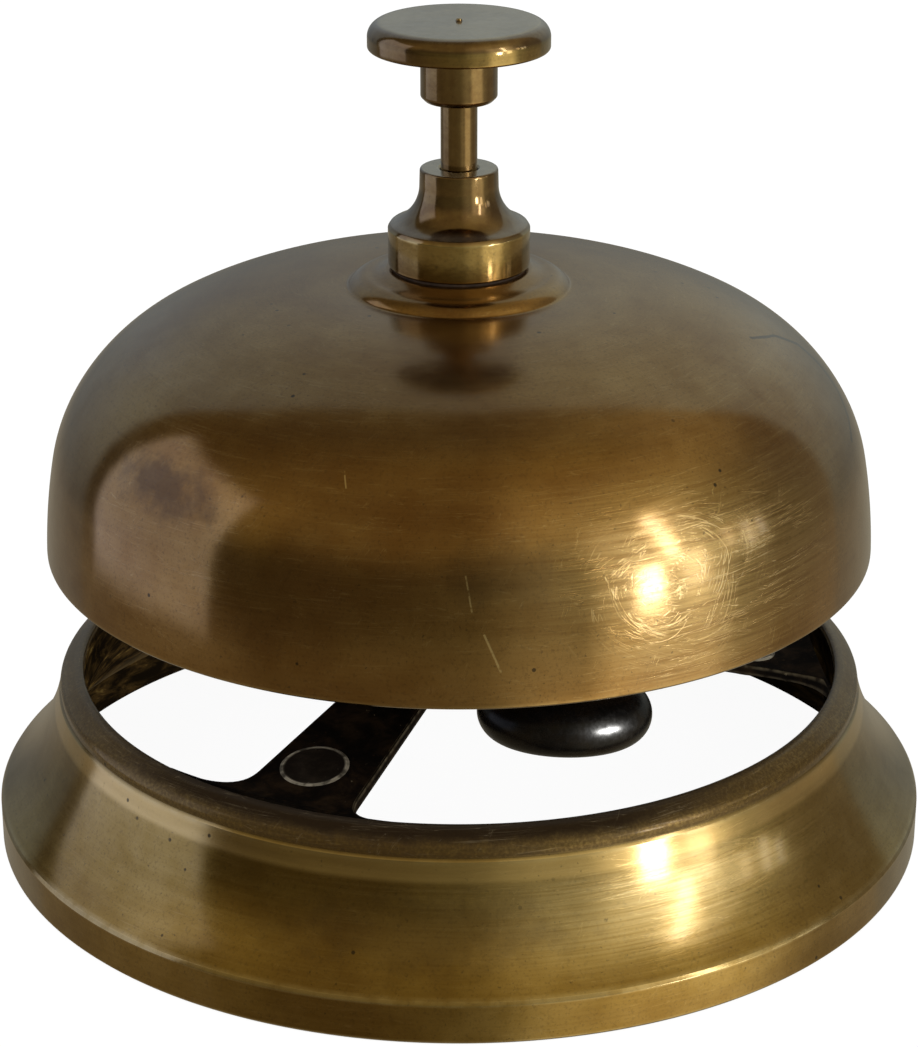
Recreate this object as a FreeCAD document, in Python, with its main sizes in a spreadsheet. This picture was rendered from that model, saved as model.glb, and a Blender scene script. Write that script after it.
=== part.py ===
import FreeCAD, Part
import Sketcher
import math
import os

# Counter call bell: a palm-push bell with a cast base, a dome clamped on a
# hollow post, a sprung plunger down the post and a hammer lever below it.
# Millimetres, +Z up, origin at the centre of the foot, on the table plane.
# The frame and lever are drawn with the lever along +X, and the placement
# "radial" then turns them to the lever's direction, seen from above.

os.makedirs("parts", exist_ok=True)
doc = FreeCAD.newDocument("call_bell")
Vector = FreeCAD.Vector
X_AXIS = Vector(1, 0, 0)
Y_AXIS = Vector(0, 1, 0)
Z_AXIS = Vector(0, 0, 1)
COS_60 = 0.5
SIN_60 = math.sqrt(3) / 2

# ---------------------------------------------------------------- sizes sheet
sheet = doc.addObject("Spreadsheet::Sheet", "Sizes")
next_row = 1

OPERATIONS = {
    "+": lambda left, right: left + right,
    "-": lambda left, right: left - right,
    "*": lambda left, right: left * right,
    "/": lambda left, right: left / right,
}


class Size:
    """A number that also carries the sheet formula it comes from."""

    def __init__(self, value, formula=None):
        self.value = float(value)
        self.formula = formula or repr(self.value)

    def __add__(self, other):
        return combine(self, "+", other)

    def __sub__(self, other):
        return combine(self, "-", other)

    def __rsub__(self, other):
        return combine(other, "-", self)

    def __mul__(self, other):
        return combine(self, "*", other)

    def __truediv__(self, other):
        return combine(self, "/", other)

    def __neg__(self):
        return Size(-self.value, f"(0 - {self.formula})")


def combine(left, sign, right):
    left, right = (side if isinstance(side, Size) else Size(side) for side in (left, right))
    value = OPERATIONS[sign](left.value, right.value)
    return Size(value, f"({left.formula} {sign} {right.formula})")


def root(size):
    return Size(math.sqrt(size.value), f"sqrt({size.formula})")


def cell(alias, value, note=""):
    """One driving size in the sheet: name, value, note."""
    global next_row
    sheet.set(f"A{next_row}", alias)
    sheet.set(f"B{next_row}", repr(float(value)))
    sheet.set(f"C{next_row}", note)
    sheet.setAlias(f"B{next_row}", alias)
    next_row += 1
    return Size(value, "Sizes." + alias)


# Gaps
running = cell("running", 0.05, "usual radial running clearance")
face_gap = cell("face_gap", 0.01, "gap between clamped faces")
small_gap = cell("small_gap", 0.02, "gap at other close faces")
pivot_gap = cell("pivot_gap", 0.06, "radial clearance on the pivot screw")
washer_gap = cell("washer_gap", 0.15, "radial clearance of the dome washers")

# Base casting
foot_radius = cell("foot_radius", 49.95, "base, outside of the foot band")
foot_band = cell("foot_band", 4.25, "height of the foot band")
foot_inner = cell("foot_inner", 47.9, "inside of the foot")
foot_bevel = cell("foot_bevel", 0.3, "bevel under the foot")
cove_radius = cell("cove_radius", 22.3, "concave sweep up to the neck")
neck_radius = cell("neck_radius", 42.98, "outside of the neck")
neck_height = cell("neck_height", 16.95, "crease under the lip")
lip_radius = cell("lip_radius", 40.4, "inside of the lip, and of the windows")
lip_height = cell("lip_height", 18.89, "top of the lip")
lip_round = cell("lip_round", 0.4, "rounding of the lip's inner edge")
arm_angle = cell("arm_angle", -117.5, "first arm, degrees from +X")
arm_slope_at = cell("arm_slope_at", 30.0, "radius where the arm height is given")
arm_height = cell("arm_height", 18.5, "arm top at that radius")
arm_slope = cell("arm_slope", 0.155, "rise of the arms towards the hub")
arm_thick = cell("arm_thick", 1.2, "thickness of the arms")
arm_half_out = cell("arm_half_out", 6.13, "half width of an arm at the ring")
arm_half_in = cell("arm_half_in", 3.39, "half width of an arm at the hub")
arm_fillet_big = cell("arm_fillet_big", 5.6, "window corner, clockwise side of an arm")
arm_fillet_small = cell("arm_fillet_small", 3.0, "window corner, other side")
hub_fillet = cell("hub_fillet", 3.0, "window corner at the hub")
window_tall = cell("window_tall", 40.0, "height of the window cutters")
curl_start = cell("curl_start", 36.5, "radius where the arms begin to curl up")
curl_top = cell("curl_top", 18.45, "height of the arms at the lip")
curl_radius = cell("curl_radius", 5.84, "curl of the arms")
hub_radius = cell("hub_radius", 9.5, "hub")
hub_web = cell("hub_web", 1.2, "dish left round the hub by the windows")
hub_top = cell("hub_top", 21.8, "hub face under the frame")
hub_bottom = cell("hub_bottom", 17.2, "hub face over the washer")
hub_hole = cell("hub_hole", 4.1, "hole for the frame stud")
rivet_at = cell("rivet_at", 30.98, "arm rivet, distance out along the arm")
rivet_aside = cell("rivet_aside", -0.17, "arm rivet, offset across the arm")
rivet_radius = cell("rivet_radius", 3.64, "arm rivet shank")
rivet_head = cell("rivet_head", 4.2, "arm rivet, head below the arm")
rivet_clearance = cell("rivet_clearance", 0.03, "radial clearance of the rivet holes")

# Frame, pivot and post
hammer_dir = cell("hammer_dir", -69.9, "radial direction of the lever, degrees from +X")
pivot_out = cell("pivot_out", 17.0, "pivot, distance out from the axis")
pivot_height = cell("pivot_height", 37.6, "pivot height")
pin_radius = cell("pin_radius", 1.5, "pivot screw shank")
pivot_head = cell("pivot_head", 3.1, "pivot screw head")
pivot_nut_corner = cell("pivot_nut_corner", 3.25, "pivot nut, over corners / 2")
pivot_nut_thick = cell("pivot_nut_thick", 2.4, "pivot nut thickness")
pivot_nut_chamfer = cell("pivot_nut_chamfer", 0.35, "corner chamfer")
pivot_washer_radius = cell("pivot_washer_radius", 3.3, "pivot washers")
pivot_washer_thick = cell("pivot_washer_thick", 0.6, "pivot washer thickness")
pivot_washer_gap = cell("pivot_washer_gap", 0.04, "gap from lever boss to washer")
cheek_in = cell("cheek_in", 3.7, "inside of the frame cheeks")
cheek_out = cell("cheek_out", 6.2, "outside of the frame cheeks")
frame_half = cell("frame_half", 7.5, "half length of the top block, along the radial line")
frame_nose = cell("frame_nose", 3.6, "rounding of the cheeks about the pivot")
frame_soft_size = cell("frame_soft_size", 1.6, "frame corner rounding")
slot_round = cell("slot_round", 1.5, "upper corners of the frame's slot")
frame_sill = cell("frame_sill", 24.8, "top of the frame's foot")
frame_roof = cell("frame_roof", 44.5, "underside of the frame's top block")
frame_top = cell("frame_top", 50.0, "top of the frame")
stud_radius = cell("stud_radius", 4.0, "frame stud")
stud_low = cell("stud_low", 13.8, "bottom of the stud")
stud_shoulder = cell("stud_shoulder", 5.2, "plug that fills the bore in the frame's foot")
frame_washer_thick = cell("frame_washer_thick", 0.6, "frame washer thickness")
frame_washer_radius = cell("frame_washer_radius", 8.4, "frame washer")
frame_nut_corner = cell("frame_nut_corner", 6.3, "frame nut, over corners / 2")
frame_nut_chamfer = cell("frame_nut_chamfer", 0.4, "corner chamfer")
lock_nut_corner = cell("lock_nut_corner", 8.1, "lock nut, over corners / 2")
lock_nut_thick = cell("lock_nut_thick", 3.0, "top of the lock nut above the frame")
lock_nut_chamfer = cell("lock_nut_chamfer", 0.6, "corner chamfer")
post_radius = cell("post_radius", 4.5, "post")
post_bevel = cell("post_bevel", 0.5, "bevel at both ends of the post")
post_bore = cell("post_bore", 3.2, "spring chamber in the post")
post_top = cell("post_top", 66.8, "top of the post")
spring_seat = cell("spring_seat", 49.0, "spring seat in the post")
flange_top = cell("flange_top", 59.5, "top of the post's flange")
flange_radius = cell("flange_radius", 7.6, "post flange")

# Plunger
rod_radius = cell("rod_radius", 1.87, "plunger rod")
guide_radius = cell("guide_radius", 1.94, "guide bores for the rod")
rod_tip = cell("rod_tip", 39.65, "lowest point of the rod at rest")
rod_spigot = cell("rod_spigot", 1.5, "thin end of the rod, in the knob")
collar_low = cell("collar_low", 64.1, "stop collar, bottom")
collar_high = cell("collar_high", 67.1, "stop collar, top")
collar_radius = cell("collar_radius", 3.12, "stop collar")
collar_bevel = cell("collar_bevel", 0.25, "bevel of the stop collar")
crosspin_radius = cell("crosspin_radius", 0.5, "cross pin")
crosspin_half = cell("crosspin_half", 2.95, "half length of the cross pin")
crosspin_bevel = cell("crosspin_bevel", 0.12, "bevel of the cross pin")
knob_low = cell("knob_low", 79.45, "bottom of the knob's neck")
knob_neck = cell("knob_neck", 3.9, "knob neck")
knob_under = cell("knob_under", 84.8, "underside of the knob")
knob_top = cell("knob_top", 87.53, "top of the knob, overall height")
knob_radius = cell("knob_radius", 9.22, "knob")
knob_round = cell("knob_round", 1.5, "rounding of the knob's top edge")
knob_edge = cell("knob_edge", 0.3, "rounding of the knob's lower edges")
knob_fillet = cell("knob_fillet", 0.25, "fillet between neck and knob")
knob_bore = rod_spigot + 0.04
spring_wire = cell("spring_wire", 0.25, "spring wire radius")
spring_mean = cell("spring_mean", 2.55, "spring mean radius")
spring_turns = cell("spring_turns", 11.0, "spring turns")

# Finial nut and dome
finial_low = cell("finial_low", 62.25, "bottom of the finial nut")
finial_crease = cell("finial_crease", 66.54, "top of the finial's band")
finial_band = cell("finial_band", 7.3, "finial band")
finial_top = cell("finial_top", 72.5, "top of the finial nut")
finial_neck = cell("finial_neck", 4.0, "finial, at the top")
finial_roof = cell("finial_roof", 67.2, "roof of the finial's thread bore")
upper_washer_radius = cell("upper_washer_radius", 6.9, "washer over the dome")
dome_rim = cell("dome_rim", 32.35, "rim of the dome")
dome_top = cell("dome_top", 61.95, "dome face under the finial")
dome_wall = cell("dome_wall", 1.6, "dome wall at the middle")
dome_hole = cell("dome_hole", 4.75, "dome centre hole")

# Hammer and lever
hammer_out = cell("hammer_out", 30.34, "hammer centre, distance out at rest")
hammer_height = cell("hammer_height", 25.0, "hammer centre height at rest")
hammer_radius = cell("hammer_radius", 8.68, "hammer head")
hammer_half = cell("hammer_half", 2.8, "half thickness, and edge rounding")
hammer_tilt = cell("hammer_tilt", 8.0, "outer edge raised, degrees")
hammer_roll = cell("hammer_roll", -4.0, "twist about the radial line, degrees")
sink_wide = cell("sink_wide", 2.8, "countersink in the hammer")
sink_deep = cell("sink_deep", 1.5, "countersink depth")
shank_hole = cell("shank_hole", 1.3, "hammer hole")
screw_shank = cell("screw_shank", 1.2, "hammer screw shank")
lever_wide = cell("lever_wide", 4.0, "lever strap width")
lever_boss = cell("lever_boss_radius", 3.4, "pivot boss")
lever_boss_wide = cell("lever_boss_wide", 6.0, "pivot boss width")
palm_radius = cell("palm_radius", 4.0, "palm on the hammer")
palm_thick = cell("palm_thick", 1.3, "palm thickness")
neck_low = cell("neck_low", 3.2, "lever neck at the palm")
neck_up = cell("neck_up", 2.5, "lever neck at the top")
neck_tall = cell("neck_tall", 5.4, "lever neck height")
tap_radius = cell("tap_radius", 1.25, "hammer screw hole in the lever")
tap_deep = cell("tap_deep", 4.2, "depth of that hole")
bearing_cut = cell("bearing_cut", 20.0, "length of the bearing cut")

doc.recompute()

# Heights that several pieces share
washer_low = hub_bottom - frame_washer_thick
crosspin_height = (collar_low + collar_high) / 2


# ------------------------------------------------------------------- sketches
def bind(obj, prop, size):
    obj.setExpression(prop, size.formula)


def as_size(number, alias):
    """A Size as it is; a plain number gets its own cell, unless it is zero."""
    if isinstance(number, Size):
        return number
    return cell(alias, number) if number else Size(0)


def new_body(name):
    return doc.addObject("PartDesign::Body", name)


def new_sketch(body, plane, name):
    sketch = body.newObject("Sketcher::SketchObject", name)
    support = next(item for item in body.Origin.OriginFeatures if item.Role == plane)
    sketch.AttachmentSupport = (support, [""])
    sketch.MapMode = "FlatFace"
    return sketch


def dimension(sketch, name, size, *target):
    index = sketch.addConstraint(Sketcher.Constraint(*target, size.value))
    sketch.renameConstraint(index, name)
    bind(sketch, "Constraints." + name, size)


def hold_point(sketch, name, geometry, point, across, up):
    """Fix a point by its distances from the origin, or on an axis if zero."""
    for size, kind, axis_line in ((across, "DistanceX", -2), (up, "DistanceY", -1)):
        if abs(size.value) < 1e-9:
            sketch.addConstraint(
                Sketcher.Constraint("PointOnObject", geometry, point, axis_line))
        else:
            dimension(sketch, f"{name}_{kind[-1]}", size, kind, -1, 1, geometry, point)


def add_circles(sketch, circles):
    """circles: (across, up, radius), each a Size or zero."""
    for index, circle in enumerate(circles):
        across, up, radius = (as_size(number, "") for number in circle)
        curve = Part.Circle(Vector(across.value, up.value, 0), Z_AXIS, radius.value)
        geometry = sketch.addGeometry(curve, False)
        hold_point(sketch, f"hole_{index}", geometry, 3, across, up)
        dimension(sketch, f"hole_{index}_radius", radius, "Radius", geometry)


def arc_between(start, end, radius, side):
    """The counterclockwise arc through both points, centre left (+1) or right (-1)."""
    chord = end - start
    half = chord.Length / 2
    left = Vector(-chord.y, chord.x, 0).normalize()
    rise = math.sqrt(max(radius * radius - half * half, 0.0))
    centre = (start + end) * 0.5 + left * (rise * side)
    first = math.atan2(start.y - centre.y, start.x - centre.x)
    last = math.atan2(end.y - centre.y, end.x - centre.x)
    if side < 0:
        first, last = last, first
    if last <= first:
        last += 2 * math.pi
    return Part.ArcOfCircle(Part.Circle(centre, Z_AXIS, radius), first, last)


def outline(body, plane, name, corners, arcs=None, circles=()):
    """A closed outline of lines and arcs. Every corner is held by two sizes.

    corners: (across, up); arcs: {index of the start corner: (radius, side)},
    side +1 with the centre on the left of the direction of travel;
    circles: extra full circles (across, up, radius).
    """
    sketch = new_sketch(body, plane, name)
    sizes = [
        (as_size(across, f"{name}_corner{i}_across"), as_size(up, f"{name}_corner{i}_up"))
        for i, (across, up) in enumerate(corners)
    ]
    arcs = {
        i: (as_size(radius, f"{name}_arc{i}"), side)
        for i, (radius, side) in (arcs or {}).items()
    }
    points = [Vector(across.value, up.value, 0) for across, up in sizes]
    count = len(points)
    curves, tails, heads = [], [], []
    for i, start in enumerate(points):
        end = points[(i + 1) % count]
        backwards = False
        if i in arcs:
            radius, side = arcs[i]
            curves.append(arc_between(start, end, radius.value, side))
            backwards = side < 0
        else:
            curves.append(Part.LineSegment(start, end))
        tails.append(2 if backwards else 1)
        heads.append(1 if backwards else 2)
    sketch.addGeometry(curves, False)
    for i in range(count):
        j = (i + 1) % count
        sketch.addConstraint(Sketcher.Constraint("Coincident", i, heads[i], j, tails[j]))
    for i, (across, up) in enumerate(sizes):
        hold_point(sketch, f"corner_{i}", i, tails[i], across, up)
    for i, (radius, _) in arcs.items():
        dimension(sketch, f"arc_{i}_radius", radius, "Radius", i)
    add_circles(sketch, circles)
    return sketch


def circle_sketch(body, plane, name, circle):
    sketch = new_sketch(body, plane, name)
    add_circles(sketch, [circle])
    return sketch


# ------------------------------------------------------------------- features
def full_turn(body, kind, sketch, name):
    feature = body.newObject("PartDesign::" + kind, name)
    feature.Profile = (sketch, [""])
    feature.ReferenceAxis = (sketch, ["V_Axis"])
    feature.Angle = 360.0


def volume_now(body):
    doc.recompute()
    return body.Shape.Volume


def require_cut(body, name, before):
    if not volume_now(body) < before - 1e-6:
        raise RuntimeError(name + " cut nothing")


def groove(body, sketch, name):
    before = volume_now(body)
    full_turn(body, "Groove", sketch, name)
    require_cut(body, name, before)


def pad(body, sketch, name, length, symmetric=False):
    feature = body.newObject("PartDesign::Pad", name)
    feature.Profile = (sketch, [""])
    feature.SideType = "Symmetric" if symmetric else "One side"
    bind(feature, "Length", length)


def pocket(body, sketch, name, length=None):
    """Cut through on both sides, or by a length along the sketch's normal."""
    before = volume_now(body)
    feature = body.newObject("PartDesign::Pocket", name)
    feature.Profile = (sketch, [""])
    if length is None:
        feature.SideType = "Symmetric"
        feature.Type = "ThroughAll"
    else:
        feature.SideType = "One side"
        feature.Reversed = True
        bind(feature, "Length", length)
    require_cut(body, name, before)


def fillet(body, name, radius, wanted, at_least=1):
    """Round the tip's edges whose two end points pass the wanted test."""
    base = body.Tip
    names = []
    for number, edge in enumerate(base.Shape.Edges, 1):
        ends = [vertex.Point for vertex in edge.Vertexes]
        if len(ends) == 2 and wanted(*ends):
            names.append(f"Edge{number}")
    if len(names) < at_least:
        raise RuntimeError(f"{name} found {len(names)} edges")
    feature = body.newObject("PartDesign::Fillet", name)
    feature.Base = (base, names)
    bind(feature, "Radius", radius)
    doc.recompute()


def fuse(name, shapes, refine=False):
    result = doc.addObject("Part::MultiFuse", name)
    result.Shapes = shapes
    if refine:
        result.Refine = True
    return result


def cut(name, base, tool, refine=False):
    result = doc.addObject("Part::Cut", name)
    result.Base = base
    result.Tool = tool
    if refine:
        result.Refine = True
    return result


def cylinder(name, radius, height, placement):
    result = doc.addObject("Part::Cylinder", name)
    bind(result, "Radius", radius)
    bind(result, "Height", height)
    result.Placement = placement
    return result


def compound(name, shapes):
    result = doc.addObject("Part::Compound", name)
    result.Links = shapes
    return result


# --------------------------------------------------------- placing and pieces
def place(x=0, y=0, z=0, axis=Z_AXIS, angle=0):
    return FreeCAD.Placement(Vector(x, y, z), FreeCAD.Rotation(axis, angle))


pieces = {}   # file name: (object, expected number of solids)


def finish(name, obj, placement=None, solids=1):
    obj.Label = name
    if placement is not None:
        obj.Placement = placement
    pieces[name] = (obj, solids)


def spun_body(body_name, section_name, turn_name, corners, arcs=None):
    """A new body: one closed half section spun about its Z axis."""
    body = new_body(body_name)
    sketch = outline(body, "XZ_Plane", section_name, corners, arcs)
    full_turn(body, "Revolution", sketch, turn_name)
    return body


def turned_body(name, corners, arcs=None):
    return spun_body(name + "_body", name, name + "_turn", corners, arcs)


def turned(name, corners, arcs=None, placement=None):
    """A finished piece that is turned and nothing more."""
    finish(name, turned_body(name, corners, arcs), placement)


def washer_section(inner, outer, low, high):
    return [(inner, low), (outer, low), (outer, high), (inner, high)]


def hex_nut(name, corner, low, high, hole, chamfer, placement=place()):
    """A hexagon nut with both corner edges turned down and a plain bore."""
    body = new_body(name + "_body")
    half = corner / 2
    flat = corner * SIN_60
    thick = high - low
    hexagon = [(corner, 0), (half, flat), (-half, flat),
               (-corner, 0), (-half, -flat), (half, -flat)]
    sketch = outline(body, "XY_Plane", name, hexagon, circles=[(0, 0, hole)])
    pad(body, sketch, name + "_pad", thick)
    doc.recompute()
    # Both cutters start just inside the flats and end well outside the corners.
    inside, outside = flat - 0.1, corner + 0.6
    drop = chamfer * 1.35
    upper = [(inside, thick), (inside, thick + 1.0),
             (outside, thick + 1.0), (outside, thick - drop)]
    lower = [(inside, 0), (outside, drop), (outside, -1.0), (inside, -1.0)]
    groove(body, outline(body, "XZ_Plane", name + "_upper", upper), name + "_crown_up")
    groove(body, outline(body, "XZ_Plane", name + "_lower", lower), name + "_crown_low")
    finish(name, body, placement * place(z=low.value))


radial = place(angle=hammer_dir.value)
# A turned piece placed here has its own Z axis across the frame, at the pivot.
across_pivot = radial * place(pivot_out.value, 0, pivot_height.value, X_AXIS, 90)
# The centre of the hammer head, before the turn to the radial direction.
hammer_seat = FreeCAD.Placement(
    Vector(hammer_out.value, 0, hammer_height.value),
    FreeCAD.Rotation(Y_AXIS, -hammer_tilt.value)
    * FreeCAD.Rotation(X_AXIS, hammer_roll.value),
)


# --------------------------------------------------------------- base casting
def arm_top(radius):
    return arm_height + arm_slope * (arm_slope_at - radius)


def arm_under(radius):
    return arm_top(radius) - arm_thick


arm_turns = [place(angle=arm_angle.value + 120.0 * k) for k in range(3)]

# Centres of the three arm rivets, on and square to the sloping arm tops.
rivet_tip = place(rivet_at.value, rivet_aside.value, arm_top(rivet_at).value,
                  Y_AXIS, math.degrees(math.atan(arm_slope.value)))
rivet_seats = [turn * rivet_tip for turn in arm_turns]


def make_ring():
    """The foot, the concave flank and the lip."""
    section = [
        (foot_inner, 0),
        (foot_radius - foot_bevel, 0),
        (foot_radius, foot_bevel),
        (foot_radius, foot_band),
        (foot_radius - 0.22, foot_band + 0.35),
        (neck_radius + 0.06, neck_height - 0.25),
        (neck_radius, neck_height),
        (neck_radius - 0.38, neck_height + 0.80),
        (lip_radius + 1.2, lip_height - 0.29),
        (lip_radius + lip_round, lip_height),
        (lip_radius, lip_height - lip_round),
        (lip_radius, 13.9),
        (47.6, 4.0),
    ]
    arcs = {4: (cove_radius, -1), 6: (1.03, 1), 8: (1.23, 1), 9: (lip_round, 1), 11: (24.5, 1)}
    return spun_body("base_ring", "ring_section", "ring_turn", section, arcs)


def make_spider():
    """A shallow dish that rises to the hub and curls up at the lip."""
    edge = lip_radius + 0.8
    section = [
        (hub_hole, hub_bottom),
        (hub_radius - 0.3, hub_bottom),
        (hub_radius + 0.4, arm_under(hub_radius)),
        (curl_start, arm_under(curl_start)),
        (edge, arm_under(curl_start)),
        (edge, curl_top),
        (lip_radius + 0.3, curl_top),
        (curl_start, arm_top(curl_start)),
        (hub_radius + 0.4, arm_top(hub_radius + 0.4)),
        (hub_radius - 0.2, hub_top),
        (hub_hole, hub_top),
    ]
    spider = spun_body("base_spider", "spider_section", "spider_turn", section,
                       {6: (curl_radius, -1)})
    doc.recompute()
    spider.Placement = arm_turns[0]
    return spider


def next_arm_corner(reach, half):
    """The point on the clockwise edge of the next arm, 120 degrees on."""
    return (half * SIN_60 - reach * COS_60, reach * SIN_60 + half * COS_60)


def make_window(k):
    """The cutter for the window counterclockwise of arm k."""
    name = f"window_{k + 1}"
    body = new_body(name)
    hub_edge = hub_radius + hub_web
    reach_out = root(lip_radius * lip_radius - arm_half_out * arm_half_out)
    reach_in = root(hub_edge * hub_edge - arm_half_in * arm_half_in)
    corners = [
        (reach_out, arm_half_out),
        next_arm_corner(reach_out, arm_half_out),
        next_arm_corner(reach_in, arm_half_in),
        (reach_in, arm_half_in),
    ]
    sketch = outline(body, "XY_Plane", f"window_outline_{k + 1}", corners,
                     {0: (lip_radius, 1), 2: (hub_edge, -1)})
    pad(body, sketch, f"window_pad_{k + 1}", window_tall)
    doc.recompute()
    labels = ("ring_small", "ring_big", "hub_a", "hub_b")
    radii = (arm_fillet_small, arm_fillet_big, hub_fillet, hub_fillet)
    for label, (across, up), radius in zip(labels, corners, radii):
        def upright_at_corner(start, end):
            offset = math.hypot(start.x - across.value, start.y - up.value)
            return abs(start.z - end.z) > 5 and offset < 0.1

        fillet(body, f"{name}_{label}", radius, upright_at_corner)
    body.Placement = arm_turns[k]
    return body


def make_base_casting():
    ring = make_ring()
    spider = make_spider()
    window_set = fuse("window_set", [make_window(k) for k in range(3)])
    arms = cut("base_arms", spider, window_set)
    drills = [
        cylinder(f"rivet_drill_{k + 1}", rivet_radius + rivet_clearance, arm_thick + 6.0,
                 seat * place(z=-5))
        for k, seat in enumerate(rivet_seats)
    ]
    joined = fuse("base_joined", [ring, arms], refine=True)
    finish("base_casting", cut("base_cut", joined, fuse("rivet_drills", drills), refine=True))


def make_arm_rivets():
    """Nearly flush on top with a fine bevel, a low head below."""
    section = [
        (0, -arm_thick - 0.40),
        (rivet_head - 0.3, -arm_thick - 0.40),
        (rivet_head, -arm_thick - 0.22),
        (rivet_head, -arm_thick - 0.06),
        (rivet_radius, -arm_thick - 0.06),
        (rivet_radius, -0.22),
        (rivet_radius - 0.3, 0.02),
        (0, 0.06),
    ]
    rivets = []
    for k, seat in enumerate(rivet_seats, 1):
        rivet = spun_body(f"rivet_{k}", f"rivet_section_{k}", f"rivet_turn_{k}", section)
        rivet.Placement = seat
        rivets.append(rivet)
    finish("arm_rivets", compound("rivet_set", rivets), solids=3)


# ------------------------------------------------------------ mechanism frame
def make_frame():
    """Two cheeks between a foot and a top block, on a stud through the hub."""
    frame = new_body("frame_body")
    side = [
        (-frame_half, hub_top),
        (8.0, hub_top),
        (8.8, frame_sill + 1.0),
        (pivot_out + 2.9, pivot_height - 2.15),
        (pivot_out, pivot_height + frame_nose),
        (11.5, 42.6),
        (frame_half, frame_roof + 1.2),
        (frame_half, frame_top),
        (-frame_half, frame_top),
    ]
    pivot_hole = (pivot_out, pivot_height, pin_radius + pivot_gap)
    sketch = outline(frame, "XZ_Plane", "frame_side", side, {3: (frame_nose, 1)}, [pivot_hole])
    pad(frame, sketch, "frame_pad", cheek_out * 2, symmetric=True)

    slot = [
        (-cheek_in, frame_sill),
        (cheek_in, frame_sill),
        (cheek_in, frame_roof - slot_round),
        (cheek_in - slot_round, frame_roof),
        (slot_round - cheek_in, frame_roof),
        (-cheek_in, frame_roof - slot_round),
    ]
    sketch = outline(frame, "YZ_Plane", "frame_slot", slot,
                     {2: (slot_round, 1), 4: (slot_round, 1)})
    pocket(frame, sketch, "slot_cut")

    # The bore for the post also opens the foot, which the stud closes again.
    sketch = circle_sketch(frame, "XY_Plane", "frame_bore", (0, 0, post_radius + running))
    pocket(frame, sketch, "bore_cut", frame_top + 1.0)
    stud = [
        (0, stud_low),
        (stud_radius - 0.5, stud_low),
        (stud_radius, stud_low + 0.5),
        (stud_radius, hub_top),
        (stud_shoulder, hub_top),
        (stud_shoulder, frame_sill),
        (0, frame_sill),
    ]
    sketch = outline(frame, "XZ_Plane", "frame_stud", stud)
    full_turn(frame, "Revolution", sketch, "stud_turn")
    doc.recompute()

    def outer_corner(start, end):
        """An upright edge on a cheek face, at either end of the block."""
        upright = math.hypot(start.x - end.x, start.y - end.y) <= 0.01
        on_cheek = abs(abs(start.y) - cheek_out.value) <= 0.01
        at_end = abs(abs(start.x) - frame_half.value) < 0.01
        return upright and on_cheek and at_end and abs(start.z - end.z) > 2.0

    fillet(frame, "frame_soft", frame_soft_size, outer_corner, at_least=3)
    finish("mechanism_frame", frame, radial)


def make_frame_fixings():
    """The washer and nut on the stud, under the hub."""
    inner = stud_radius + 0.2
    bevel = 0.3
    turned("frame_washer", [
        (inner, washer_low),
        (frame_washer_radius - bevel, washer_low),
        (frame_washer_radius, washer_low + bevel),
        (frame_washer_radius, hub_bottom - face_gap),
        (inner, hub_bottom - face_gap),
    ])
    hex_nut("frame_nut", frame_nut_corner, washer_low - 2.1, washer_low - face_gap,
            stud_radius + running, frame_nut_chamfer)


# -------------------------------------------------------------- post and dome
def make_post():
    turned("post", [
        (guide_radius, frame_roof),
        (post_radius - post_bevel, frame_roof),
        (post_radius, frame_roof + post_bevel),
        (post_radius, 56.4),
        (flange_radius - 1.0, 57.4),
        (flange_radius, 57.4),
        (flange_radius, flange_top - 0.25),
        (flange_radius - 0.25, flange_top),
        (post_radius, flange_top),
        (post_radius, post_top - post_bevel),
        (post_radius - post_bevel, post_top),
        (post_bore, post_top),
        (post_bore, spring_seat),
        (guide_radius, spring_seat),
    ])
    hex_nut("post_lock_nut", lock_nut_corner, frame_top + face_gap,
            frame_top + lock_nut_thick, post_radius + running, lock_nut_chamfer, radial)


def make_dome_washers():
    """One washer under the dome's crown and one over it."""
    inner = post_radius + washer_gap
    turned("lower_dome_washer", washer_section(
        inner, flange_radius, flange_top + face_gap, dome_top - dome_wall - small_gap))
    turned("upper_dome_washer", washer_section(
        inner, upper_washer_radius, dome_top + face_gap, finial_low - face_gap))


def make_dome():
    # Radius and height: up the outside from the rim, then down the inside.
    section = [
        (41.95, dome_rim),
        (43.35, dome_rim),
        (43.56, dome_rim + 0.22),
        (43.572, 32.89),
        (42.559, 42.145),
        (40.704, 47.333),
        (32.557, 55.397),
        (22.995, 58.924),
        (11.76, 60.051),
        (8.9, 61.3),
        (7.4, dome_top),
        (dome_hole, dome_top),
        (dome_hole, dome_top - dome_wall),
        (7.7, dome_top - dome_wall),
        (10.2, 58.8),
        (11.783, 58.451),
        (22.655, 57.36),
        (31.801, 53.987),
        (39.302, 46.562),
        (40.986, 41.852),
        (41.973, 32.836),
    ]
    # The inside repeats the five outer arcs in reverse, one wall smaller.
    outer_radii = [62.1, 17.36, 20.19, 36.75, 49.51]
    arcs = {8: (2.6, 1)}
    for i, value in enumerate(outer_radii):
        radius = cell(f"dome_arc_{i + 1}", value, "outer arc of the dome, from the rim up")
        arcs[3 + i] = (radius, 1)
        arcs[19 - i] = (radius - dome_wall, -1)
    turned("bell_dome", section, arcs)


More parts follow.
